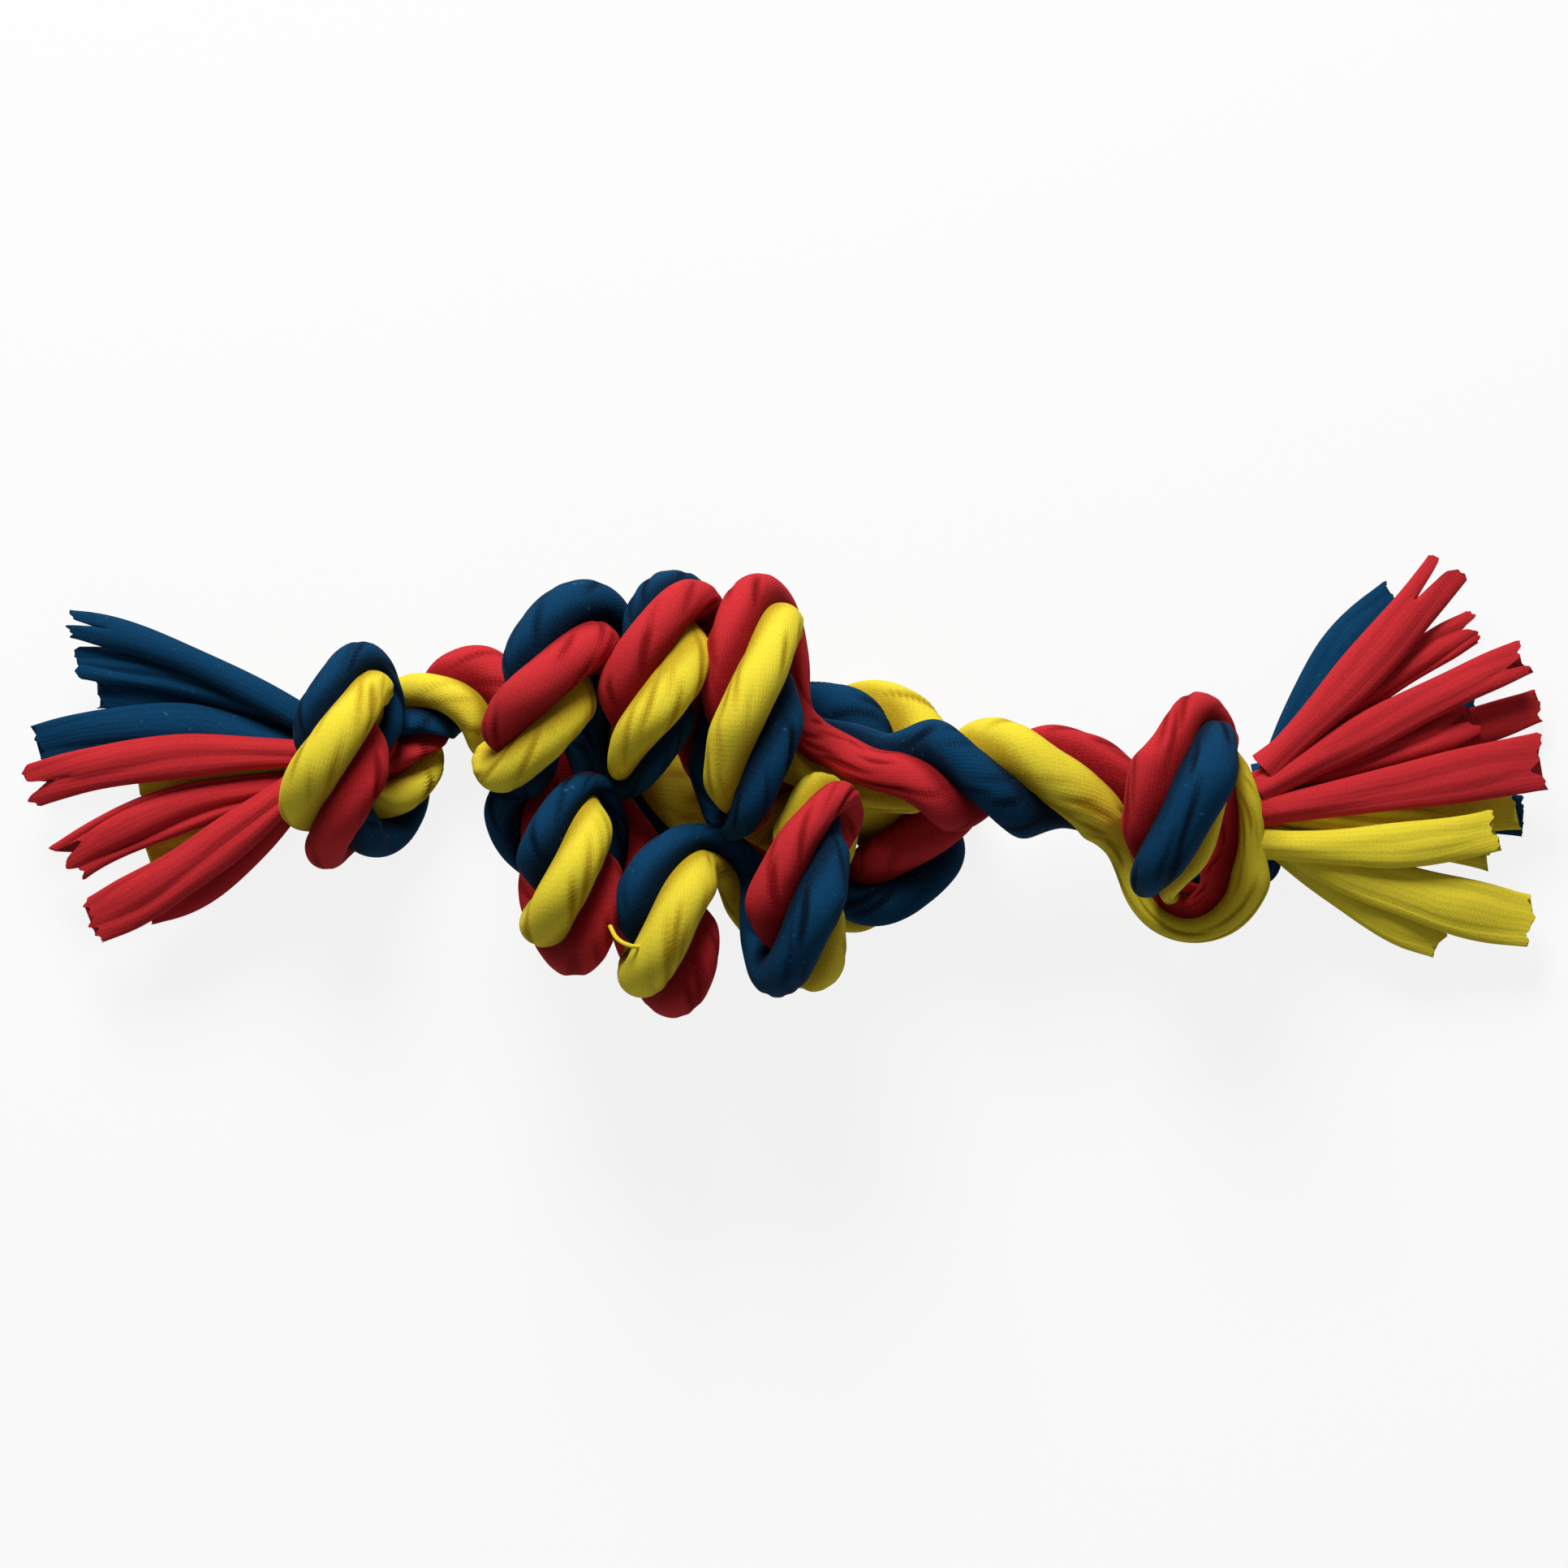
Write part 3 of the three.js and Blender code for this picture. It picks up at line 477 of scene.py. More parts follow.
# Where a strand shows, seen from above: x and y in millimetres and its colour
SHOWN = [
    (-87.4, 10.5, "yellow"), (-73.2, -2.4, "yellow"), (-66.0, 16.2, "yellow"), (12.5, 15.1, "blue"),
    (26.4, -11.5, "red"), (6.2, -4.8, "red"), (-22.0, -29.5, "yellow"), (-41.3, -18.0, "yellow"),
    (-46.8, 21.5, "red"), (-26.2, 12.2, "yellow"), (-8.0, 15.8, "yellow"), (9.0, 8.0, "red"),
    (21.0, 1.5, "red"), (38.5, 1.5, "blue"), (56.5, 0.0, "yellow"), (62.9, -11.0, "yellow"),
    (75.4, -29.6, "yellow"), (86.8, -29.4, "yellow"), (93.8, -13.6, "yellow"), (88.4, 6.0, "blue"),
    (72.6, -18.2, "blue"), (98.4, -16.0, "blue"),
]


def nearest(points, target):
    """The number of the point that is nearest to a place."""
    return int(np.argmin(np.linalg.norm(points - np.array(target), axis=1)))


def steady_curve(x, y, at):
    """Monotone cubic through the keys (x, y): slopes are harmonic means of the two neighbours'."""
    h, d = np.diff(x), np.diff(y) / np.diff(x)
    w1, w2 = 2 * h[1:] + h[:-1], h[1:] + 2 * h[:-1]
    inner = (w1 + w2) / (w1 / d[:-1] + w2 / d[1:])
    m = np.concatenate([d[:1], np.where(d[:-1] * d[1:] > 0, inner, 0), d[-1:]])
    k = np.clip(np.searchsorted(x, at) - 1, 0, len(h) - 1)
    t = (at - x[k]) / h[k]
    rise = (2 * t ** 3 - 3 * t ** 2 + 1) * y[k] + (3 * t ** 2 - 2 * t ** 3) * y[k + 1]
    return rise + h[k] * ((t ** 3 - 2 * t ** 2 + t) * m[k] + (t ** 3 - t ** 2) * m[k + 1])


def seen_from_above(x, y):
    """The ring that shows at a place of the plan, and the way from its middle to the surface there.

    Each ring stands for a ball of its radius, and the ball that reaches highest over the place wins.
    """
    plan = np.array([x, y]) - middle[:, :2]
    off = np.linalg.norm(plan, axis=1)
    rise = np.sqrt(np.maximum(radius ** 2 - off ** 2, 0))
    i = int(np.argmax(np.where(off < radius, middle[:, 2] + rise, radius - off - OUT_OF_SIGHT)))
    surface = np.array([x, y, middle[i, 2] + rise[i]])
    i = nearest(middle, surface)
    return i, surface - middle[i]


def lay_angles():
    """The red strand's angle: a named strand passes each shown place, with whole turns between."""
    keys = []
    for x, y, colour in SHOWN:
        i, way = seen_from_above(x * MM, y * MM)
        keys.append((along[i], np.arctan2(way @ side[i], way @ across[i]) - TURN * STRAND_TURN[colour]))
    place, angle = np.array(sorted(keys)).T
    for k in range(1, len(place)):
        natural = TURN * (place[k] - place[k - 1]) / LAY_LENGTH
        angle[k] += TURN * np.round((natural - (angle[k] - angle[k - 1])) / TURN)
    before = angle[0] - TURN * place[0] / LAY_LENGTH
    after = angle[-1] + TURN * (along[-1] - place[-1]) / LAY_LENGTH
    x = np.concatenate([[0], place, along[-1:]])
    return steady_curve(x, np.concatenate([[before], angle, [after]]), along)


lay = lay_angles()
middle[:, 2] -= lowered
print("turns of lay", round((lay[-1] - lay[0]) / TURN, 2))

# %% [markdown]
# A strand is a soft roll of jersey, and its cloth has creases: short grooves with a raised lip that
# run along the rope, because the cloth's twist in a strand undoes the lay. A bump in the material
# would be less work, but it would vanish at the outline, so the creases are real geometry.

# %% Creases of a strand
ROLL_RADIUS = 0.49              # of a strand's circle, over the rope's radius
ROLL_ANGLE = 129                # degrees round the roll to each side of its outermost line
ROLL_POINTS = 57
ROLL_ARC = np.radians(np.linspace(-ROLL_ANGLE, ROLL_ANGLE, ROLL_POINTS))

CREASE_SPACING = 3.2 * MM       # of one crease from the next along a strand
CREASE_CURVE = 8                # how fast the slant grows along a crease, in a metre
FEWEST_RINGS = 4                # a crease over fewer is left out
LIP_PLACE, LIP_WIDTH, LIP_HEIGHT = 2.0, 1.7, 0.45   # over the crease's width and depth
DARK_DEPTH = 0.3 * MM           # a crease this deep gets the full painted shade
FADE_POWER = 1.5                # how quickly a crease fades towards its ends

# Least and most of what is drawn for each crease, lengths in millimetres
CREASE_SHIFT = (-2, 2)
CREASE_LONG = (7, 20)
CREASE_DEEP = (0.10, 0.42)
CREASE_WIDE = (0.60, 0.95)
CREASE_SLANT = (-0.16, 0.16)
CREASE_ARC = (-1.5, 1.5)        # radians round the roll


def creases(strand_angle, seed):
    """Height added to a strand: grooves with a raised lip along lines of constant cloth position, and
    painted shade in their dips.

    The cloth position is radius * (roll share * arc angle + strand angle), which stays the same
    along the rope's own direction. A crease at distance d is -depth * exp(-(d/w)^2), with a lip
    beside it, and fades out towards both of its ends.
    """
    random = np.random.default_rng(seed)
    cloth = ROPE_RADIUS * (ROLL_RADIUS * ROLL_ARC[None, :] + strand_angle[:, None])
    height = np.zeros_like(cloth)
    painted_shade = np.zeros_like(cloth)
    for start in np.arange(0, along[-1], CREASE_SPACING):
        at = start + random.uniform(*CREASE_SHIFT) * MM
        long = random.uniform(*CREASE_LONG) * MM
        depth = random.uniform(*CREASE_DEEP) * MM
        wide = random.uniform(*CREASE_WIDE) * MM
        slant = random.uniform(*CREASE_SLANT)
        arc = random.uniform(*CREASE_ARC)
        turnback = random.choice([-1.0, 1.0])
        first, last = np.searchsorted(along, [at - long / 2, at + long / 2])
        if last - first < FEWEST_RINGS:
            continue
        here = (along[first:last] - at)[:, None]
        centre = ROPE_RADIUS * (ROLL_RADIUS * arc + np.interp(at, along, strand_angle))
        d = cloth[first:last] - centre - slant * here - CREASE_CURVE * here ** 2 * slant
        fade = np.clip(1 - (2 * here / long) ** 2, 0, 1) ** FADE_POWER
        dip = np.exp(-(d / wide) ** 2)
        lip = np.exp(-((d - LIP_PLACE * turnback * wide) / (LIP_WIDTH * wide)) ** 2)
        height[first:last] += depth * fade * (LIP_HEIGHT * lip - dip)
        # Painted shade: the crease's dip is darkened, in full from DARK_DEPTH on
        painted_shade[first:last] = np.maximum(painted_shade[first:last], fade * dip * depth / DARK_DEPTH)
    return height, np.clip(painted_shade, 0, 1)


print("a crease every", round(CREASE_SPACING / MM, 1), "mm of", round(along[-1] / MM), "mm")

# %% [markdown]
# Across the rope a strand is a circle that leans on its two neighbours, so its ring is an arc of that
# circle, closed through the rope's middle where nobody sees it. The roll swells and thins a little
# along the rope. The pass that lies behind the centre knot is squashed wide, and a strand's sides
# get painted shade, where the strands press together.

# %% Strand surface
ROLL_PLACE = 0.51               # of a roll's middle from the rope's middle, over the rope's radius
CORE_SHARE = 0.03               # from the rope's middle to where a strand closes, over its radius
CORE_CLOTH = 2 * MM             # of cloth from the end of the arc to that place
SWELL = 0.016                   # share by which a strand swells and thins
LONG_SWELL, SHORT_SWELL = 23 * MM, 9.7 * MM
SHORT_SHARE = 0.7               # of the short swell's height, over the long one's
SQUASHED = 0.35                 # share by which the pass behind the centre knot is wider in plan
SQUASH_EASE = 15 * MM           # of rope over which it widens
SIDE_SHADE = 0.7                # how much painted shade the sides of a strand get
SIDES = (0.8, 1.9)              # radians round the roll between which the sides start


def strand_surface(colour, seed):
    """Rings of one strand: middle + out * (place + roll * cos arc) + round * (roll * sin arc).

    Behind the centre knot a ring is then stretched in plan, away from the rope's middle, and the
    floor flattens what would lie under it. The painted shade is the share of the shaded colour, from
    the creases and from the sides of the roll.
    """
    angle = lay + TURN * STRAND_TURN[colour]
    height, painted_shade = creases(angle, seed)
    wave = np.sin(along / LONG_SWELL * TURN + seed)
    wave = wave + SHORT_SHARE * np.sin(along / SHORT_SWELL * TURN + 2.1 * seed)
    swell = 1 + SWELL * wave[:, None]
    roll = ROLL_RADIUS * radius[:, None] * swell + height
    outward = ROLL_PLACE * radius[:, None] + roll * np.cos(ROLL_ARC)[None, :]
    sideways = roll * np.sin(ROLL_ARC)[None, :]
    out = across * np.cos(angle)[:, None] + side * np.sin(angle)[:, None]
    round_ = np.cross(tangent, out)
    rings = middle[:, None] + out[:, None] * outward[..., None] + round_[:, None] * sideways[..., None]
    core = middle + out * (CORE_SHARE * radius[:, None])
    rings = np.concatenate([rings, core[:, None]], axis=1)
    wider = (SQUASHED * pressed_back)[:, None, None]
    rings[..., :2] += (rings[..., :2] - middle[:, None, :2]) * wider
    cloth = ROPE_RADIUS * (ROLL_RADIUS * ROLL_ARC[None, :] + angle[:, None])
    cloth = np.concatenate([cloth, cloth[:, -1:] + CORE_CLOTH], axis=1)
    # Painted shade on the sides of the roll, where the strands press together
    painted_shade = np.maximum(painted_shade, SIDE_SHADE * ease(np.abs(ROLL_ARC), *SIDES)[None, :])
    painted_shade = np.concatenate([painted_shade, painted_shade[:, -1:]], axis=1)
    rings[..., 2] = np.maximum(rings[..., 2], 0.0)
    return rings, cloth, painted_shade


# The squashed pass starts at the back route's second point and ends at its fifth from the end
as_routed = middle + [0, 0, lowered]
goes_behind, comes_round = (along[nearest(as_routed, in_metres([point])[0, :3])]
                            for point in (BACK_ROUTE[1], BACK_ROUTE[-5]))
pressed_back = ease(along, goes_behind, goes_behind + SQUASH_EASE)
pressed_back -= ease(along, comes_round - SQUASH_EASE, comes_round)
strands = {colour: strand_surface(colour, seed) for seed, colour in enumerate(STRAND_TURN, 3)}
print("rings", len(middle), "points in a ring", len(ROLL_ARC) + 1)

# %% [markdown]
# Jersey is a knit: fine ribs, called wales, run along it, and a soft fuzz covers them. Stitches made
# as geometry would be millions of faces. So the material draws the wales as a bump on the cloth's own
# position, adds fuzz and uneven dye by noise, and gives each colour the paler lint that cotton picks
# up, which shows most on blue. It also paints shade: the colour goes towards a shaded copy in the
# creases, on the strands' sides and between the wales. The sheen that short fibres give is one number
# for the whole surface.

# %% Jersey
WALE = 0.80 * MM                # from one wale to the next
COURSE = 0.85 * MM              # from one row of stitches to the next
WANDERING = 9.0                 # radians by which a wale wanders, at most
STITCH_BEND = 1.2               # radians by which a stitch bends over a wale
PATCHES = (0.36, 0.62)          # noise between which the wales come out more
LINT_FROM = (0.69, 0.78)        # noise between which a speck of lint starts
ROUGH, ROUGHER_FUZZ = 0.80, 0.22   # roughness of the cloth, and what full fuzz adds
SHEEN_ROUGHNESS = 0.45
SPECULAR = 0.10

# What darkens the colour, as shares of the way from lit to the shaded copy: painted shade in creases, on
# the sides and between wales, and uneven dye by patches and fuzz
PAINTED_SHADE_DARK, WALE_DARK, PATCH_DARK, FUZZ_DARK = 0.90, 0.05, 0.30, 0.45

# Height of the knit, and the parts of it over that height
KNIT_HEIGHT = 0.08 * MM
WALE_LEAST, WALE_MORE, STITCH_PART, FUZZ_PART = 0.08, 0.26, 0.2, 1.3

# Waves in a metre of each noise, and its detail
WANDER = (90.0, 2.0)
FUZZ = (1900.0, 2.0)
PATCH = (55.0, 3.0)
FLECK = (620.0, 1.5)


def noise(tree, place, scale, detail):
    """Soft noise from 0 to 1, with about as many waves in a metre as scale says."""
    return Wire.node(tree, "TexNoise", None, {"Vector": place, "Scale": scale, "Detail": detail})


def jersey(name, lit, shade_and_deep_dye, lint, lint_share, sheen):
    """A knitted cotton with a lit colour and a shaded copy, used for painted shade and uneven dye, and
    lint of its own colour.
    """
    material = bpy.data.materials.new(name)
    material.use_nodes = True
    tree = material.node_tree
    shader = tree.nodes["Principled BSDF"]
    place = Wire.node(tree, "TexCoord", None, None, "Object")
    cloth = Wire.node(tree, "TexCoord", None, None, "UV")
    u = Wire.node(tree, "SeparateXYZ", None, {0: cloth}, 0)
    v = Wire.node(tree, "SeparateXYZ", None, {0: cloth}, 1)
    painted_shade = Wire.node(tree, "Attribute", {"attribute_name": "painted_shade"}, None, "Fac")
    wander, fuzz, patch, fleck = (noise(tree, place, *waves) for waves in (WANDER, FUZZ, PATCH, FLECK))
    # Wales wander a little, and the stitches bend with them
    wale = sine(u * (TURN / WALE) + wander * WANDERING)
    stitch = sine(v * (TURN / COURSE) + wale * STITCH_BEND)
    strength = step_up(patch, *PATCHES)
    # Painted shade in creases, on the sides and between wales, and dye made uneven by patches and fuzz
    dark = painted_shade * PAINTED_SHADE_DARK + (1 - wale) * WALE_DARK + (1 - patch) * PATCH_DARK
    dark = dark + (fuzz - 0.5) * FUZZ_DARK
    dyed_and_shaded = blend_colour(step_up(dark, 0.0, 1.0), lit, shade_and_deep_dye)
    specks = step_up(fleck, *LINT_FROM) * lint_share
    tree.links.new(blend_colour(specks, dyed_and_shaded, lint).socket, shader.inputs["Base Color"])
    rough = ROUGH + fuzz * ROUGHER_FUZZ
    tree.links.new(rough.socket, shader.inputs["Roughness"])
    height = wale * (WALE_LEAST + strength * WALE_MORE) + stitch * STITCH_PART + fuzz * FUZZ_PART
    bump = Wire.node(tree, "Bump", None, {"Strength": 0.5, "Distance": KNIT_HEIGHT, "Height": height})
    tree.links.new(bump.socket, shader.inputs["Normal"])
    shader.inputs["Specular IOR Level"].default_value = SPECULAR
    shader.inputs["Sheen Weight"].default_value = sheen
    shader.inputs["Sheen Roughness"].default_value = SHEEN_ROUGHNESS
    shader.inputs["Sheen Tint"].default_value = lit
    return material


# Lit colour, shaded copy for painted shade and uneven dye, lint, share of lint and sheen
DYES_AND_SHADES = {
    "red": ((0.540, 0.026, 0.032, 1), (0.230, 0.005, 0.007, 1), (0.62, 0.12, 0.14, 1), 0.12, 0.18),
    "blue": ((0.0020, 0.044, 0.112, 1), (0.0005, 0.007, 0.020, 1), (0.06, 0.16, 0.25, 1), 0.30, 0.03),
    "yellow": ((0.820, 0.680, 0.042, 1), (0.440, 0.280, 0.010, 1), (0.90, 0.82, 0.25, 1), 0.20, 0.20),
}
JERSEY = {colour: jersey(f"{colour}_jersey", *dye_and_shade) for colour, dye_and_shade in DYES_AND_SHADES.items()}
print("jerseys", list(JERSEY))

# %% [markdown]
# A mesh is made from a grid of points by joining each ring to the next. The ends get a flat cap,
# with sharp edges so that its shading doesn't spread onto the cloth.

# %% Mesh from rings
def piece_from_rings(name, rings, cloth, painted_shade, v, material):
    """A closed piece from rings of points, with its cloth position as UV and its painted shade."""
    count, n = rings.shape[:2]
    index = np.arange(count * n).reshape(count, n)
    a, b = index[:-1], np.roll(index, -1, axis=1)[:-1]
    quads = np.stack([a, b, b + n, a + n], axis=-1).reshape(-1, 4)
    faces = quads.tolist() + [index[0, ::-1].tolist(), index[-1].tolist()]
    mesh = bpy.data.meshes.new(name)
    mesh.from_pydata(rings.reshape(-1, 3).tolist(), [], faces)
    corner = np.zeros(len(mesh.loops), dtype=np.int32)
    mesh.loops.foreach_get("vertex_index", corner)
    spot = np.column_stack([cloth.ravel(), np.repeat(v, n)])
    layer = mesh.uv_layers.new(name="cloth")
    layer.data.foreach_set("uv", spot[corner].astype(np.float32).ravel())
    # Painted shade as a point attribute, read by the material
    depth = mesh.attributes.new("painted_shade", "FLOAT", "POINT")
    depth.data.foreach_set("value", painted_shade.astype(np.float32).ravel())
    smooth = np.ones(len(faces), dtype=bool)
    smooth[-2:] = False
    mesh.polygons.foreach_set("use_smooth", smooth)
    ends = np.zeros(2 * len(mesh.edges), dtype=np.int32)
    mesh.edges.foreach_get("vertices", ends)
    ring = ends.reshape(-1, 2) // n
    sharp = (ring[:, 0] == ring[:, 1]) & ((ring[:, 0] == 0) | (ring[:, 0] == count - 1))
    mark = mesh.attributes.new("sharp_edge", "BOOLEAN", "EDGE")
    mark.data.foreach_set("value", sharp)
    mesh.materials.append(material)
    made = bpy.data.objects.new(name, mesh)
    bpy.context.scene.collection.objects.link(made)
    return made


print("mesh helper", piece_from_rings.__name__)

# %% [markdown]
# The rope is parted where it bends as the toy is moved. A knot rides on its body. A neck of rope
# bends at both of its ends, so each neck is two pieces, one beside the centre knot's joint and one
# beside the end knot's joint. A neck of rope bends at both of its ends, and a piece can bend at one
# joint only. These pieces are only baked in place.

# %% Rope pieces
BEND_REACH = 4.0 * MM           # of the bend to each side of its joint
KEPT_BACK = 7.0 * MM            # from a joint to where the riding piece starts

joint_place = {joint["name"]: joint["pos_m"] for joint in frame["record"]["behaviour"]["joints"]}
left_lift, left_swing, right_swing, right_lift = (nearest(middle, joint_place[name]) for name in (
    "left_knot_lift", "left_neck_swing", "right_neck_swing", "right_knot_lift"))
back = int(KEPT_BACK / STEP)
reach = int(BEND_REACH / STEP)
left_half = (left_lift + left_swing) // 2
right_half = (right_swing + right_lift) // 2

# Name, first and last ring, and for a piece that bends the two bodies and the ring at the joint
ROPE_PIECES = [
    ("left_knot", 0, left_lift - back, None),
    ("left_neck_outer", left_lift - back, left_half, ("left_knot", "left_neck", left_lift)),
    ("left_neck_inner", left_half, left_swing + back, ("left_neck", "centre_knot", left_swing)),
    ("centre_knot", left_swing + back, right_swing - back, None),
    ("right_neck_inner", right_swing - back, right_half, ("centre_knot", "right_neck", right_swing)),
    ("right_neck_outer", right_half, right_lift + back, ("right_neck", "right_knot", right_lift)),
    ("right_knot", right_lift + back, len(middle) - 1, None),
]
for colour, surface in strands.items():
    for name, first, last, bends in ROPE_PIECES:
        cut = slice(first, last + 1)
        grids = [grid[cut] for grid in (*surface, along)]
        piece = piece_from_rings(f"rope_{name}_{colour}", *grids, JERSEY[colour])
        if bends is None:
            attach(piece, name)
            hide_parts(f"{name}_{colour}")
        else:
            body_a, body_b, joint = bends
            tuple(middle[joint - reach])
            tuple(middle[joint + reach])
            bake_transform(piece)
        if name.endswith("_neck_inner"):
            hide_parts(f"{name.removesuffix('_inner')}_{colour}")
print("rope pieces", len(strands) * len(ROPE_PIECES))

# %% [markdown]
# The tassels are cut jersey strips, in layers that fan out from the rope's ends. Each one is different,
# so each has a line of numbers, read off the photograph where it is in sight and guessed where it
# lies under others.

# %% Strips of the two tassels
# Name, colour, layer, place across the root, tip x and y, bow, width, share by which the tip is wider,
# height over width, depth of the creases over the half width, roughness of the cut, place and depth
# of a notch in it. Lengths in millimetres.
LEFT_STRIPS = [
    ("blue_1", "blue", 3, 7.5, -141.8, 31.8, 3.0, 4.6, 0.2, 0.85, 0.06, 1.2, -0.1, 5.0),
    ("blue_2", "blue", 2, 7.5, -140.4, 24.0, 2.0, 5.6, 0.1, 0.70, 0.34, 0.8, 0.0, 0.0),
    ("blue_3", "blue", 1, 6.0, -136.5, 18.0, 2.0, 6.4, 0.0, 0.65, 0.08, 1.0, 0.0, 0.0),
    ("blue_4", "blue", 2, 1.8, -148.6, 7.6, 3.5, 9.6, -0.2, 0.55, 0.10, 1.0, 0.0, 0.0),
    ("blue_5", "blue", 0, 0.0, -130.0, 7.4, 0.0, 6.4, 0.0, 0.50, 0.10, 1.0, 0.0, 0.0),
    ("red_1", "red", 3, 0.8, -150.0, -0.6, 2.0, 7.6, 0.1, 0.50, 0.12, 1.2, 0.05, 6.0),
    ("red_2", "red", 2, -4.2, -142.6, -15.8, 2.0, 8.4, 0.1, 0.50, 0.34, 1.4, -0.3, 5.0),
    ("red_3", "red", 3, -4.9, -137.6, -27.4, -3.0, 8.6, 0.1, 0.50, 0.16, 1.6, 0.3, 2.0),
    ("red_4", "red", 1, -6.5, -127.0, -24.6, -4.0, 7.4, 0.0, 0.60, 0.14, 1.0, 0.0, 0.0),
    ("yellow_1", "yellow", 0, 6.0, -130.6, 19.2, 1.0, 6.4, 0.0, 0.50, 0.10, 0.8, 0.0, 0.0),
    ("yellow_2", "yellow", 1, 0.0, -127.6, -1.6, 0.0, 8.0, 0.0, 0.45, 0.10, 0.8, 0.0, 0.0),
    ("yellow_3", "yellow", 0, -5.7, -127.2, -13.0, 0.0, 6.4, 0.0, 0.50, 0.10, 0.8, 0.0, 0.0),
]
RIGHT_STRIPS = [
    ("red_1", "red", 3, 6.6, 131.8, 43.4, 1.0, 8.0, 0.1, 0.50, 0.08, 0.8, 0.18, 9.0),
    ("red_2", "red", 2, 6.6, 137.2, 31.6, 2.0, 6.4, 0.0, 0.60, 0.30, 1.0, 0.12, 3.0),
    ("red_3", "red", 3, 2.2, 147.2, 25.4, 2.0, 6.8, 0.0, 0.50, 0.10, 1.0, -0.2, 5.0),
    ("red_4", "red", 2, 2.2, 135.8, 14.0, 0.0, 8.0, 0.2, 0.55, 0.34, 1.4, -0.1, 4.0),
    ("red_5", "red", 1, 1.8, 149.8, 15.6, 0.0, 6.2, 0.1, 0.60, 0.06, 0.8, 0.0, 0.0),
    ("red_6", "red", 3, -2.7, 150.7, 4.6, 0.5, 7.8, 0.5, 0.40, 0.10, 1.0, -0.2, 3.0),
    ("yellow_1", "yellow", 1, -3.9, 145.4, -4.6, 0.0, 8.4, 0.1, 0.45, 0.10, 1.0, 0.0, 0.0),
    ("yellow_2", "yellow", 3, -8.6, 141.2, -9.0, -1.5, 7.6, 0.1, 0.50, 0.08, 1.0, 0.0, 0.0),
    ("yellow_3", "yellow", 2, -3.1, 140.4, -13.4, 0.5, 7.4, 0.1, 0.50, 0.34, 1.2, -0.3, 3.0),
    ("yellow_4", "yellow", 2, -8.3, 148.0, -27.2, -2.5, 9.6, 0.15, 0.40, 0.08, 1.0, 0.0, 0.0),
    ("yellow_5", "yellow", 1, -9.1, 130.6, -30.6, -2.0, 8.2, 0.1, 0.45, 0.08, 1.0, 0.0, 0.0),
    ("blue_1", "blue", 1, 6.8, 121.0, 37.2, 4.0, 7.4, 0.0, 0.60, 0.10, 0.8, 0.0, 0.0),
    ("blue_2", "blue", 0, 3.1, 138.6, 14.0, 0.0, 7.0, 0.0, 0.50, 0.10, 1.2, 0.0, 3.0),
    ("blue_3", "blue", 0, -0.8, 147.0, -6.4, 0.0, 8.0, 0.0, 0.50, 0.10, 1.2, 0.0, 3.0),
]
print("strips", len(LEFT_STRIPS), "on the left and", len(RIGHT_STRIPS), "on the right")

# %% [markdown]
# A strip leaves the rope's end in its layer, bows to one side and sinks towards the floor, more with
# each millimetre. In plan that is a curve of three points: root, a middle point off to the side, tip.

# %% Line of a strip
LENGTHWAYS = 110                # points along a strip
ROOT_SPREAD = 1.25              # how much wider than the rope's end the strips leave the knot
ROOT_INSET = 5.0 * MM           # how far before the rope's end a strip starts
STRIP_LEAD = 0.1                # share of a strip's length that leads straight out before it fans
LEVEL_STEP = 3.4 * MM           # from one layer of strips to the next
MIDDLE_LEVEL = 1.5              # the layer that leaves the middle of the rope's end
TASSEL_DROOP = 9.0 * MM         # how far a strip hangs at the droop length
DROOP_LENGTH = 50.0 * MM
DROOP_POWER = 1.5
UNEVEN_HEIGHT = 0.8 * MM        # of the slow wave that a strip lies in
UNEVEN_WAVES = 0.7              # of that wave over a strip's length
UNEVEN_FROM = (0.2, 0.7)        # shares of a strip's length between which it starts


def strip_line(root, outward, row, turns):
    """A strip's middle line: a bowed plan from root to tip, sinking as distance^1.5."""
    _, _, level, offset, tip_x, tip_y, bow = row[:7]
    start = np.array([root[0], root[1] + ROOT_SPREAD * offset * MM])
    tip = np.array([tip_x, tip_y]) * MM
    run = tip - start
    long = np.linalg.norm(run)
    normal = np.array([-run[1], run[0]]) / long
    normal *= np.sign(normal[1]) or 1.0
    bowed = start + 0.5 * run + 2 * bow * MM * normal + [outward * STRIP_LEAD * long, 0]
    t = np.linspace(-ROOT_INSET / long, 1, LENGTHWAYS)
    u = np.maximum(t, 0)[:, None]
    plan = start * (1 - u) ** 2 + bowed * 2 * u * (1 - u) + tip * u ** 2
    plan += 2 * (bowed - start) * np.minimum(t, 0)[:, None]
    away = np.where(t > 0, np.linalg.norm(plan - start, axis=1), 0)
    height = root[2] + (level - MIDDLE_LEVEL) * LEVEL_STEP
    height = height - TASSEL_DROOP * (away / DROOP_LENGTH) ** DROOP_POWER
    slow_wave = UNEVEN_HEIGHT * turns[0] * np.sin(TURN * (UNEVEN_WAVES * t + turns[1]))
    height += slow_wave * ease(t, *UNEVEN_FROM)
    return t, away, np.column_stack([plan, height])


print("points along a strip", LENGTHWAYS)

# %% [markdown]
# A strip of jersey that has been pulled rolls up along its edges, so each one lies as a soft, half
# flattened tube: gathered where it leaves the knot, full in the middle, and opening again at the
# rough cut. Flat ribbons would look like paper here, so each strip is a thin cloth bent round an
# oval, with creases that run down it.

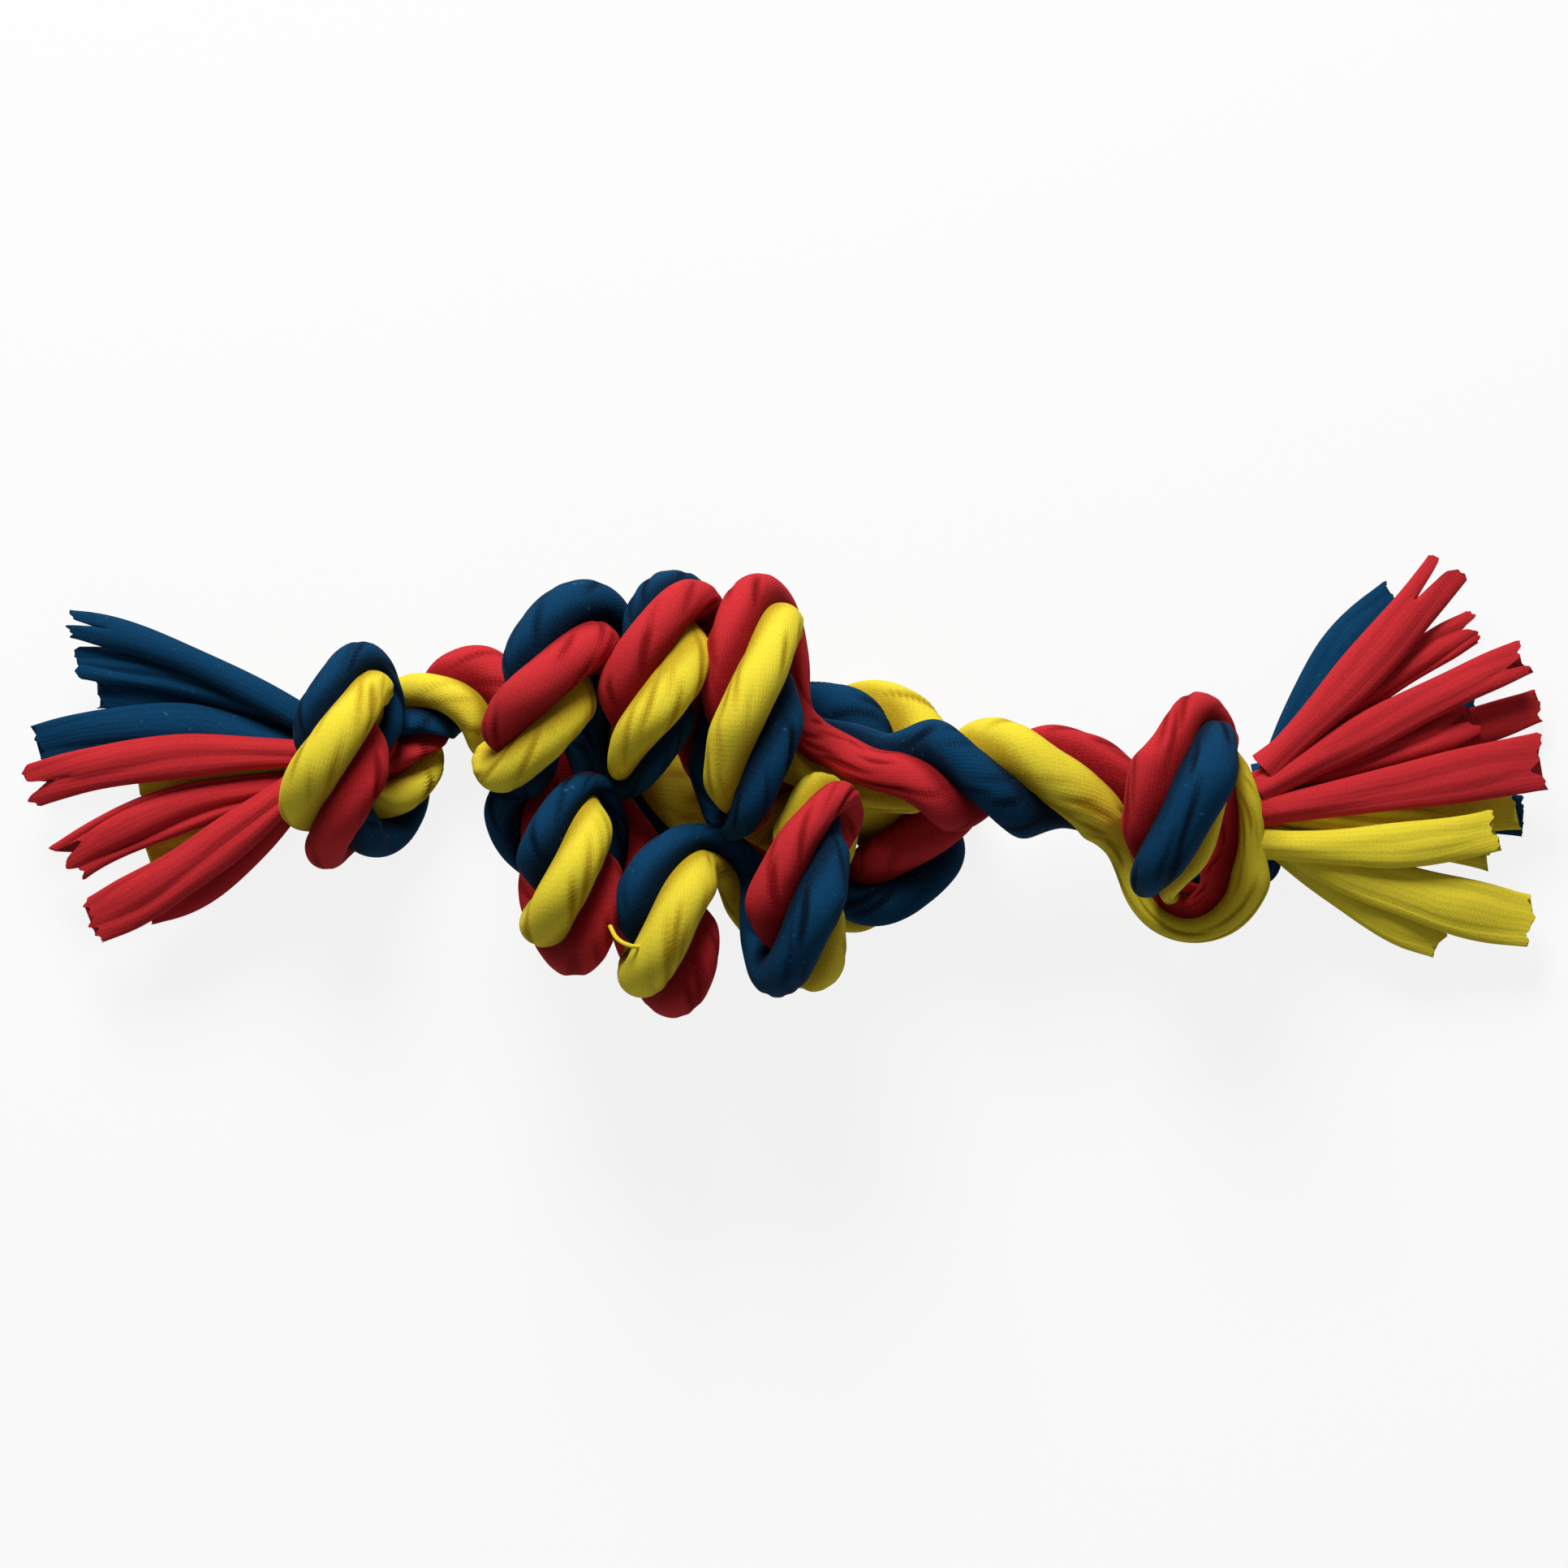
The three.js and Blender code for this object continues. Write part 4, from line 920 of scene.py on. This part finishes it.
# %% Cloth of a strip
CROSSWAYS = 36                  # points across a strip
CUT_WIDTH = 13.0 * MM           # of a strip before it rolls up
ROOT_WIDTH = 4.6 * MM           # of a strip where it leaves the knot
ROOT_OVAL = 0.95                # height over width where a strip leaves the knot
WIDENS_FROM = -5 * MM           # from the root, where a strip starts to widen
STRIP_OPENING = 22.0 * MM       # from the root to where a strip has its full width
REACH_RANGE = (1.75, 2.9)       # radians round the oval to each side, in the middle of a strip
CUT_REACH = 1.4                 # at the cut
FLATTENED = 0.62                # share of its height that a strip loses towards the cut
DENT_PLACES, DENT_WIDTHS = (0.14, -0.36), (0.15, 0.12)   # of two creases, over the half cloth
DENT_SHIFT, DENT_WAVE = 0.3, 0.08   # how far both differ between strips, and the first one wanders
SECOND_DENT = 0.7               # depth of the second crease, over the first one's
DENT_LOSS = 0.7                 # share of their depth that they lose towards the cut
FOLD_DEPTH = 0.06               # of the folds at the root, over the half width
FOLD_WAVES = 9                  # radians of the folds over the half cloth
WIDTH_WAVE, WIDTH_WAVES = 0.05, 1.6   # share by which the width varies, and how often
TILT, TILT_WAVE = 0.30, 0.15    # radians by which a strip tilts, and by which it rocks
TILT_FROM = (0.15, 0.9)         # shares of a strip's length between which it tilts
NOTCH_WIDTH = 0.13              # over the half cloth
CUT_BACK = 0.6                  # of the roughness, off the whole cut
FIRST_SEED = 100
UNEVEN = 0.6                    # most of each number that makes a strip differ

# Waves of the rough cut: height over the roughness, radians over the half cloth, and how far a
# strip's own number moves each
CUT_WAVES = [(0.6, 2.2, 5), (0.5, 7, 9), (0.3, 19, 1)]

# Shares of a strip's length
OPENS_FROM = 0.60
FLARES_FROM = 0.3
FOLDS_END = 0.35
TRIM_FROM = 0.72                # where the rough cut starts to shape the cloth


def strip_surface(root, outward, row, seed):
    """Rings of cloth round an oval: across = half * sin(reach * w), up = height * cos(reach * w).

    w runs from -1 to 1 over the cloth. The reach is the cut width over the oval's size, so a narrow
    strip is rolled further round, and it opens at the cut, where the cloth lies nearly flat. Two soft
    creases exp(-((w - place) / wide)^2) and the folds at the root are taken off the height, and the
    end is cut back by a few waves and a notch.
    """
    width, flare, oval, crease, rough, notch_at, notch = row[7:]
    turns = np.random.default_rng(FIRST_SEED + seed).uniform(-UNEVEN, UNEVEN, 6)
    t, away, line = strip_line(root, outward, row, turns)
    heading = unit(np.gradient(line, axis=0))
    level = unit(np.cross([0.0, 0.0, 1.0], heading))
    upright = np.cross(heading, level)
    tilt = TILT * turns[2] * ease(t, *TILT_FROM) + TILT_WAVE * turns[3] * np.sin(TURN * t)
    tilt = tilt[:, None]
    sideways = level * np.cos(tilt) + upright * np.sin(tilt)
    up = upright * np.cos(tilt) - level * np.sin(tilt)

    opened = ease(t, OPENS_FROM, 1.0)[:, None]
    rolled = 1 - ease(away, 0, STRIP_OPENING)[:, None]
    full = ROOT_WIDTH + (width * MM - ROOT_WIDTH) * ease(away, WIDENS_FROM, STRIP_OPENING)
    uneven = 1 + WIDTH_WAVE * np.sin(TURN * (WIDTH_WAVES * t + turns[1]))
    full *= (1 + flare * ease(t, FLARES_FROM, 1.0)) * uneven
    half = 0.5 * full[:, None]
    tall = half * (oval + (ROOT_OVAL - oval) * rolled) * (1 - FLATTENED * opened)

    w = np.linspace(-1, 1, CROSSWAYS)[None, :]
    reach = np.clip(CUT_WIDTH / (width * MM * np.sqrt(0.5 + 0.5 * oval ** 2)), *REACH_RANGE)
    bend = (reach + (CUT_REACH - reach) * opened) * w
    first = DENT_PLACES[0] + DENT_SHIFT * turns[4] + DENT_WAVE * np.sin(TURN * t + 3)[:, None]
    second = DENT_PLACES[1] + DENT_SHIFT * turns[5]
    dent = np.exp(-((w - first) / DENT_WIDTHS[0]) ** 2)
    dent = dent + SECOND_DENT * np.exp(-((w - second) / DENT_WIDTHS[1]) ** 2)
    gathered = (1 - ease(t, 0.0, FOLDS_END))[:, None]
    fold = FOLD_DEPTH * (1 + np.sin(FOLD_WAVES * w + 6 * turns[0])) * gathered
    lift = tall * np.cos(bend) - half * (crease * dent * (1 - DENT_LOSS * opened) + fold)

    waves = sum(high * np.sin(fast * w + start * turn)
                for (high, fast, start), turn in zip(CUT_WAVES, turns))
    trim = rough * MM * (waves - CUT_BACK) - notch * MM * np.exp(-((w - notch_at) / NOTCH_WIDTH) ** 2)
    along_strip = heading[:, None] * (trim * ease(t, TRIM_FROM, 1.0)[:, None])[..., None]
    section = sideways[:, None] * (half * np.sin(bend))[..., None] + up[:, None] * lift[..., None]
    return line[:, None] + section + along_strip


print("points across a strip", CROSSWAYS)

# %% [markdown]
# So far a strip has no thickness. Solidify would give it one with square edges. Here its two sides
# are moved apart along the cloth's own normal, and less towards the edges, which rounds them. What
# would lie under the floor is lifted onto it.

# %% Thickness of the cloth
CLOTH = 1.0 * MM                # thickness of the jersey
EDGE_POWER = 8                  # the higher, the closer to the edge the cloth gets thin
EDGE_LEAST = 0.04               # square of the share of the thickness that is left at the edge
FLOOR_REST = 0.4 * MM           # of the lowest cloth over the floor


def shell_rings(sheet):
    """Closed rings: the sheet moved up its normal by half the thickness, then moved down, and back.

    Half the thickness at w, from -1 to 1 over the cloth, is 0.5 * cloth * sqrt(1 - w^8).
    """
    normal = unit(np.cross(np.gradient(sheet, axis=0), np.gradient(sheet, axis=1)))
    w = np.linspace(-1, 1, sheet.shape[1])
    half = 0.5 * CLOTH * np.sqrt(np.clip(1 - w ** EDGE_POWER, EDGE_LEAST, 1))
    top = sheet + normal * half[None, :, None]
    under = sheet - normal * half[None, :, None]
    rings = np.concatenate([top, under[:, ::-1]], axis=1)
    rings[..., 2] = np.maximum(rings[..., 2], FLOOR_REST)
    return rings


print("cloth", round(CLOTH / MM, 1), "mm thick")

# %% [markdown]
# A strip is held by the end knot and swings with the others of its colour. Here its cloth is only
# baked in place. Its flat size is measured on the finished cloth, across its middle and down its length.

# %% Tassels
ROOT_GAP = 0.3 * MM             # between the rope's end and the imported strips
BEND_FROM, BEND_TO = -2 * MM, 12 * MM   # from the root, between which a strip bends


def measured(points):
    """Length of a row of points."""
    return float(np.linalg.norm(np.diff(points, axis=0), axis=1).sum())


over = np.linspace(-0.5, 0.5, CROSSWAYS)
over_and_back = np.concatenate([over, np.linspace(0.5, -0.5, CROSSWAYS)])
# Root, way out along X, table and first seed
tassels = {
    "left": (middle[0] - [ROOT_GAP, 0, 0], -1, LEFT_STRIPS, 0),
    "right": (middle[-1] + [ROOT_GAP, 0, 0], 1, RIGHT_STRIPS, 50),
}
for where, (root, outward, table, seeds) in tassels.items():
    for seed, row in enumerate(table, seeds):
        sheet = strip_surface(root, outward, row, seed)
        flat_width = measured(sheet[LENGTHWAYS // 2])
        flat_length = measured(sheet[:, CROSSWAYS // 2])
        cloth = np.repeat(over_and_back[None, :] * flat_width, LENGTHWAYS, axis=0)
        plain = np.zeros(cloth.shape)
        down = np.linspace(0, flat_length, LENGTHWAYS)
        name, colour = row[:2]
        node_name = f"{where}_strip_{name}"
        grids = [shell_rings(sheet), cloth, plain, down]
        piece = piece_from_rings(f"cloth_{node_name}", *grids, JERSEY[colour])
        near, far = (root + [outward * place, 0, 0] for place in (BEND_FROM, BEND_TO))
        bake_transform(piece)
        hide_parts(node_name)
        print(node_name, "flat", round(flat_width / MM, 1), "by", round(flat_length / MM, 1), "mm")

# %% [markdown]
# One thread has worked loose beside the lower coil's middle wrap and curls away from it. A curve with
# a round bevel would do, but the helpers for the rope are here already. So it is drawn like the rope,
# with rings along a short line, and rides on the centre knot.

# %% Loose thread
THREAD_RADIUS = 0.45 * MM
THREAD_STEP = 0.3 * MM          # from one ring to the next
THREAD_SIDES = 10               # points in a ring
THREAD_EASING = 2
THREAD_ROUTE = [
    (-27.4, -31.8, 55.6, 1), (-30.2, -31.6, 57.0, 1), (-32.8, -30.2, 55.0, 1), (-34.2, -27.8, 52.6, 1),
]

thread_curve = curve_through(in_metres(THREAD_ROUTE), SPAN_POINTS)
thread = evenly(thread_curve, THREAD_STEP, THREAD_EASING)[:, :3]
_, thread_across, thread_side = carried_directions(thread)
turned = np.linspace(0, TURN, THREAD_SIDES, endpoint=False)[None, :, None]
out = thread_across[:, None] * np.cos(turned) + thread_side[:, None] * np.sin(turned)
rings = thread[:, None] + THREAD_RADIUS * out
plain = np.zeros(rings.shape[:2])
thread_along = THREAD_STEP * np.arange(len(thread))
piece = piece_from_rings("loose_thread", rings, plain, plain, thread_along, JERSEY["yellow"])
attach(piece, "centre_knot")
print("loose thread", round(measured(thread) / MM, 1), "mm")
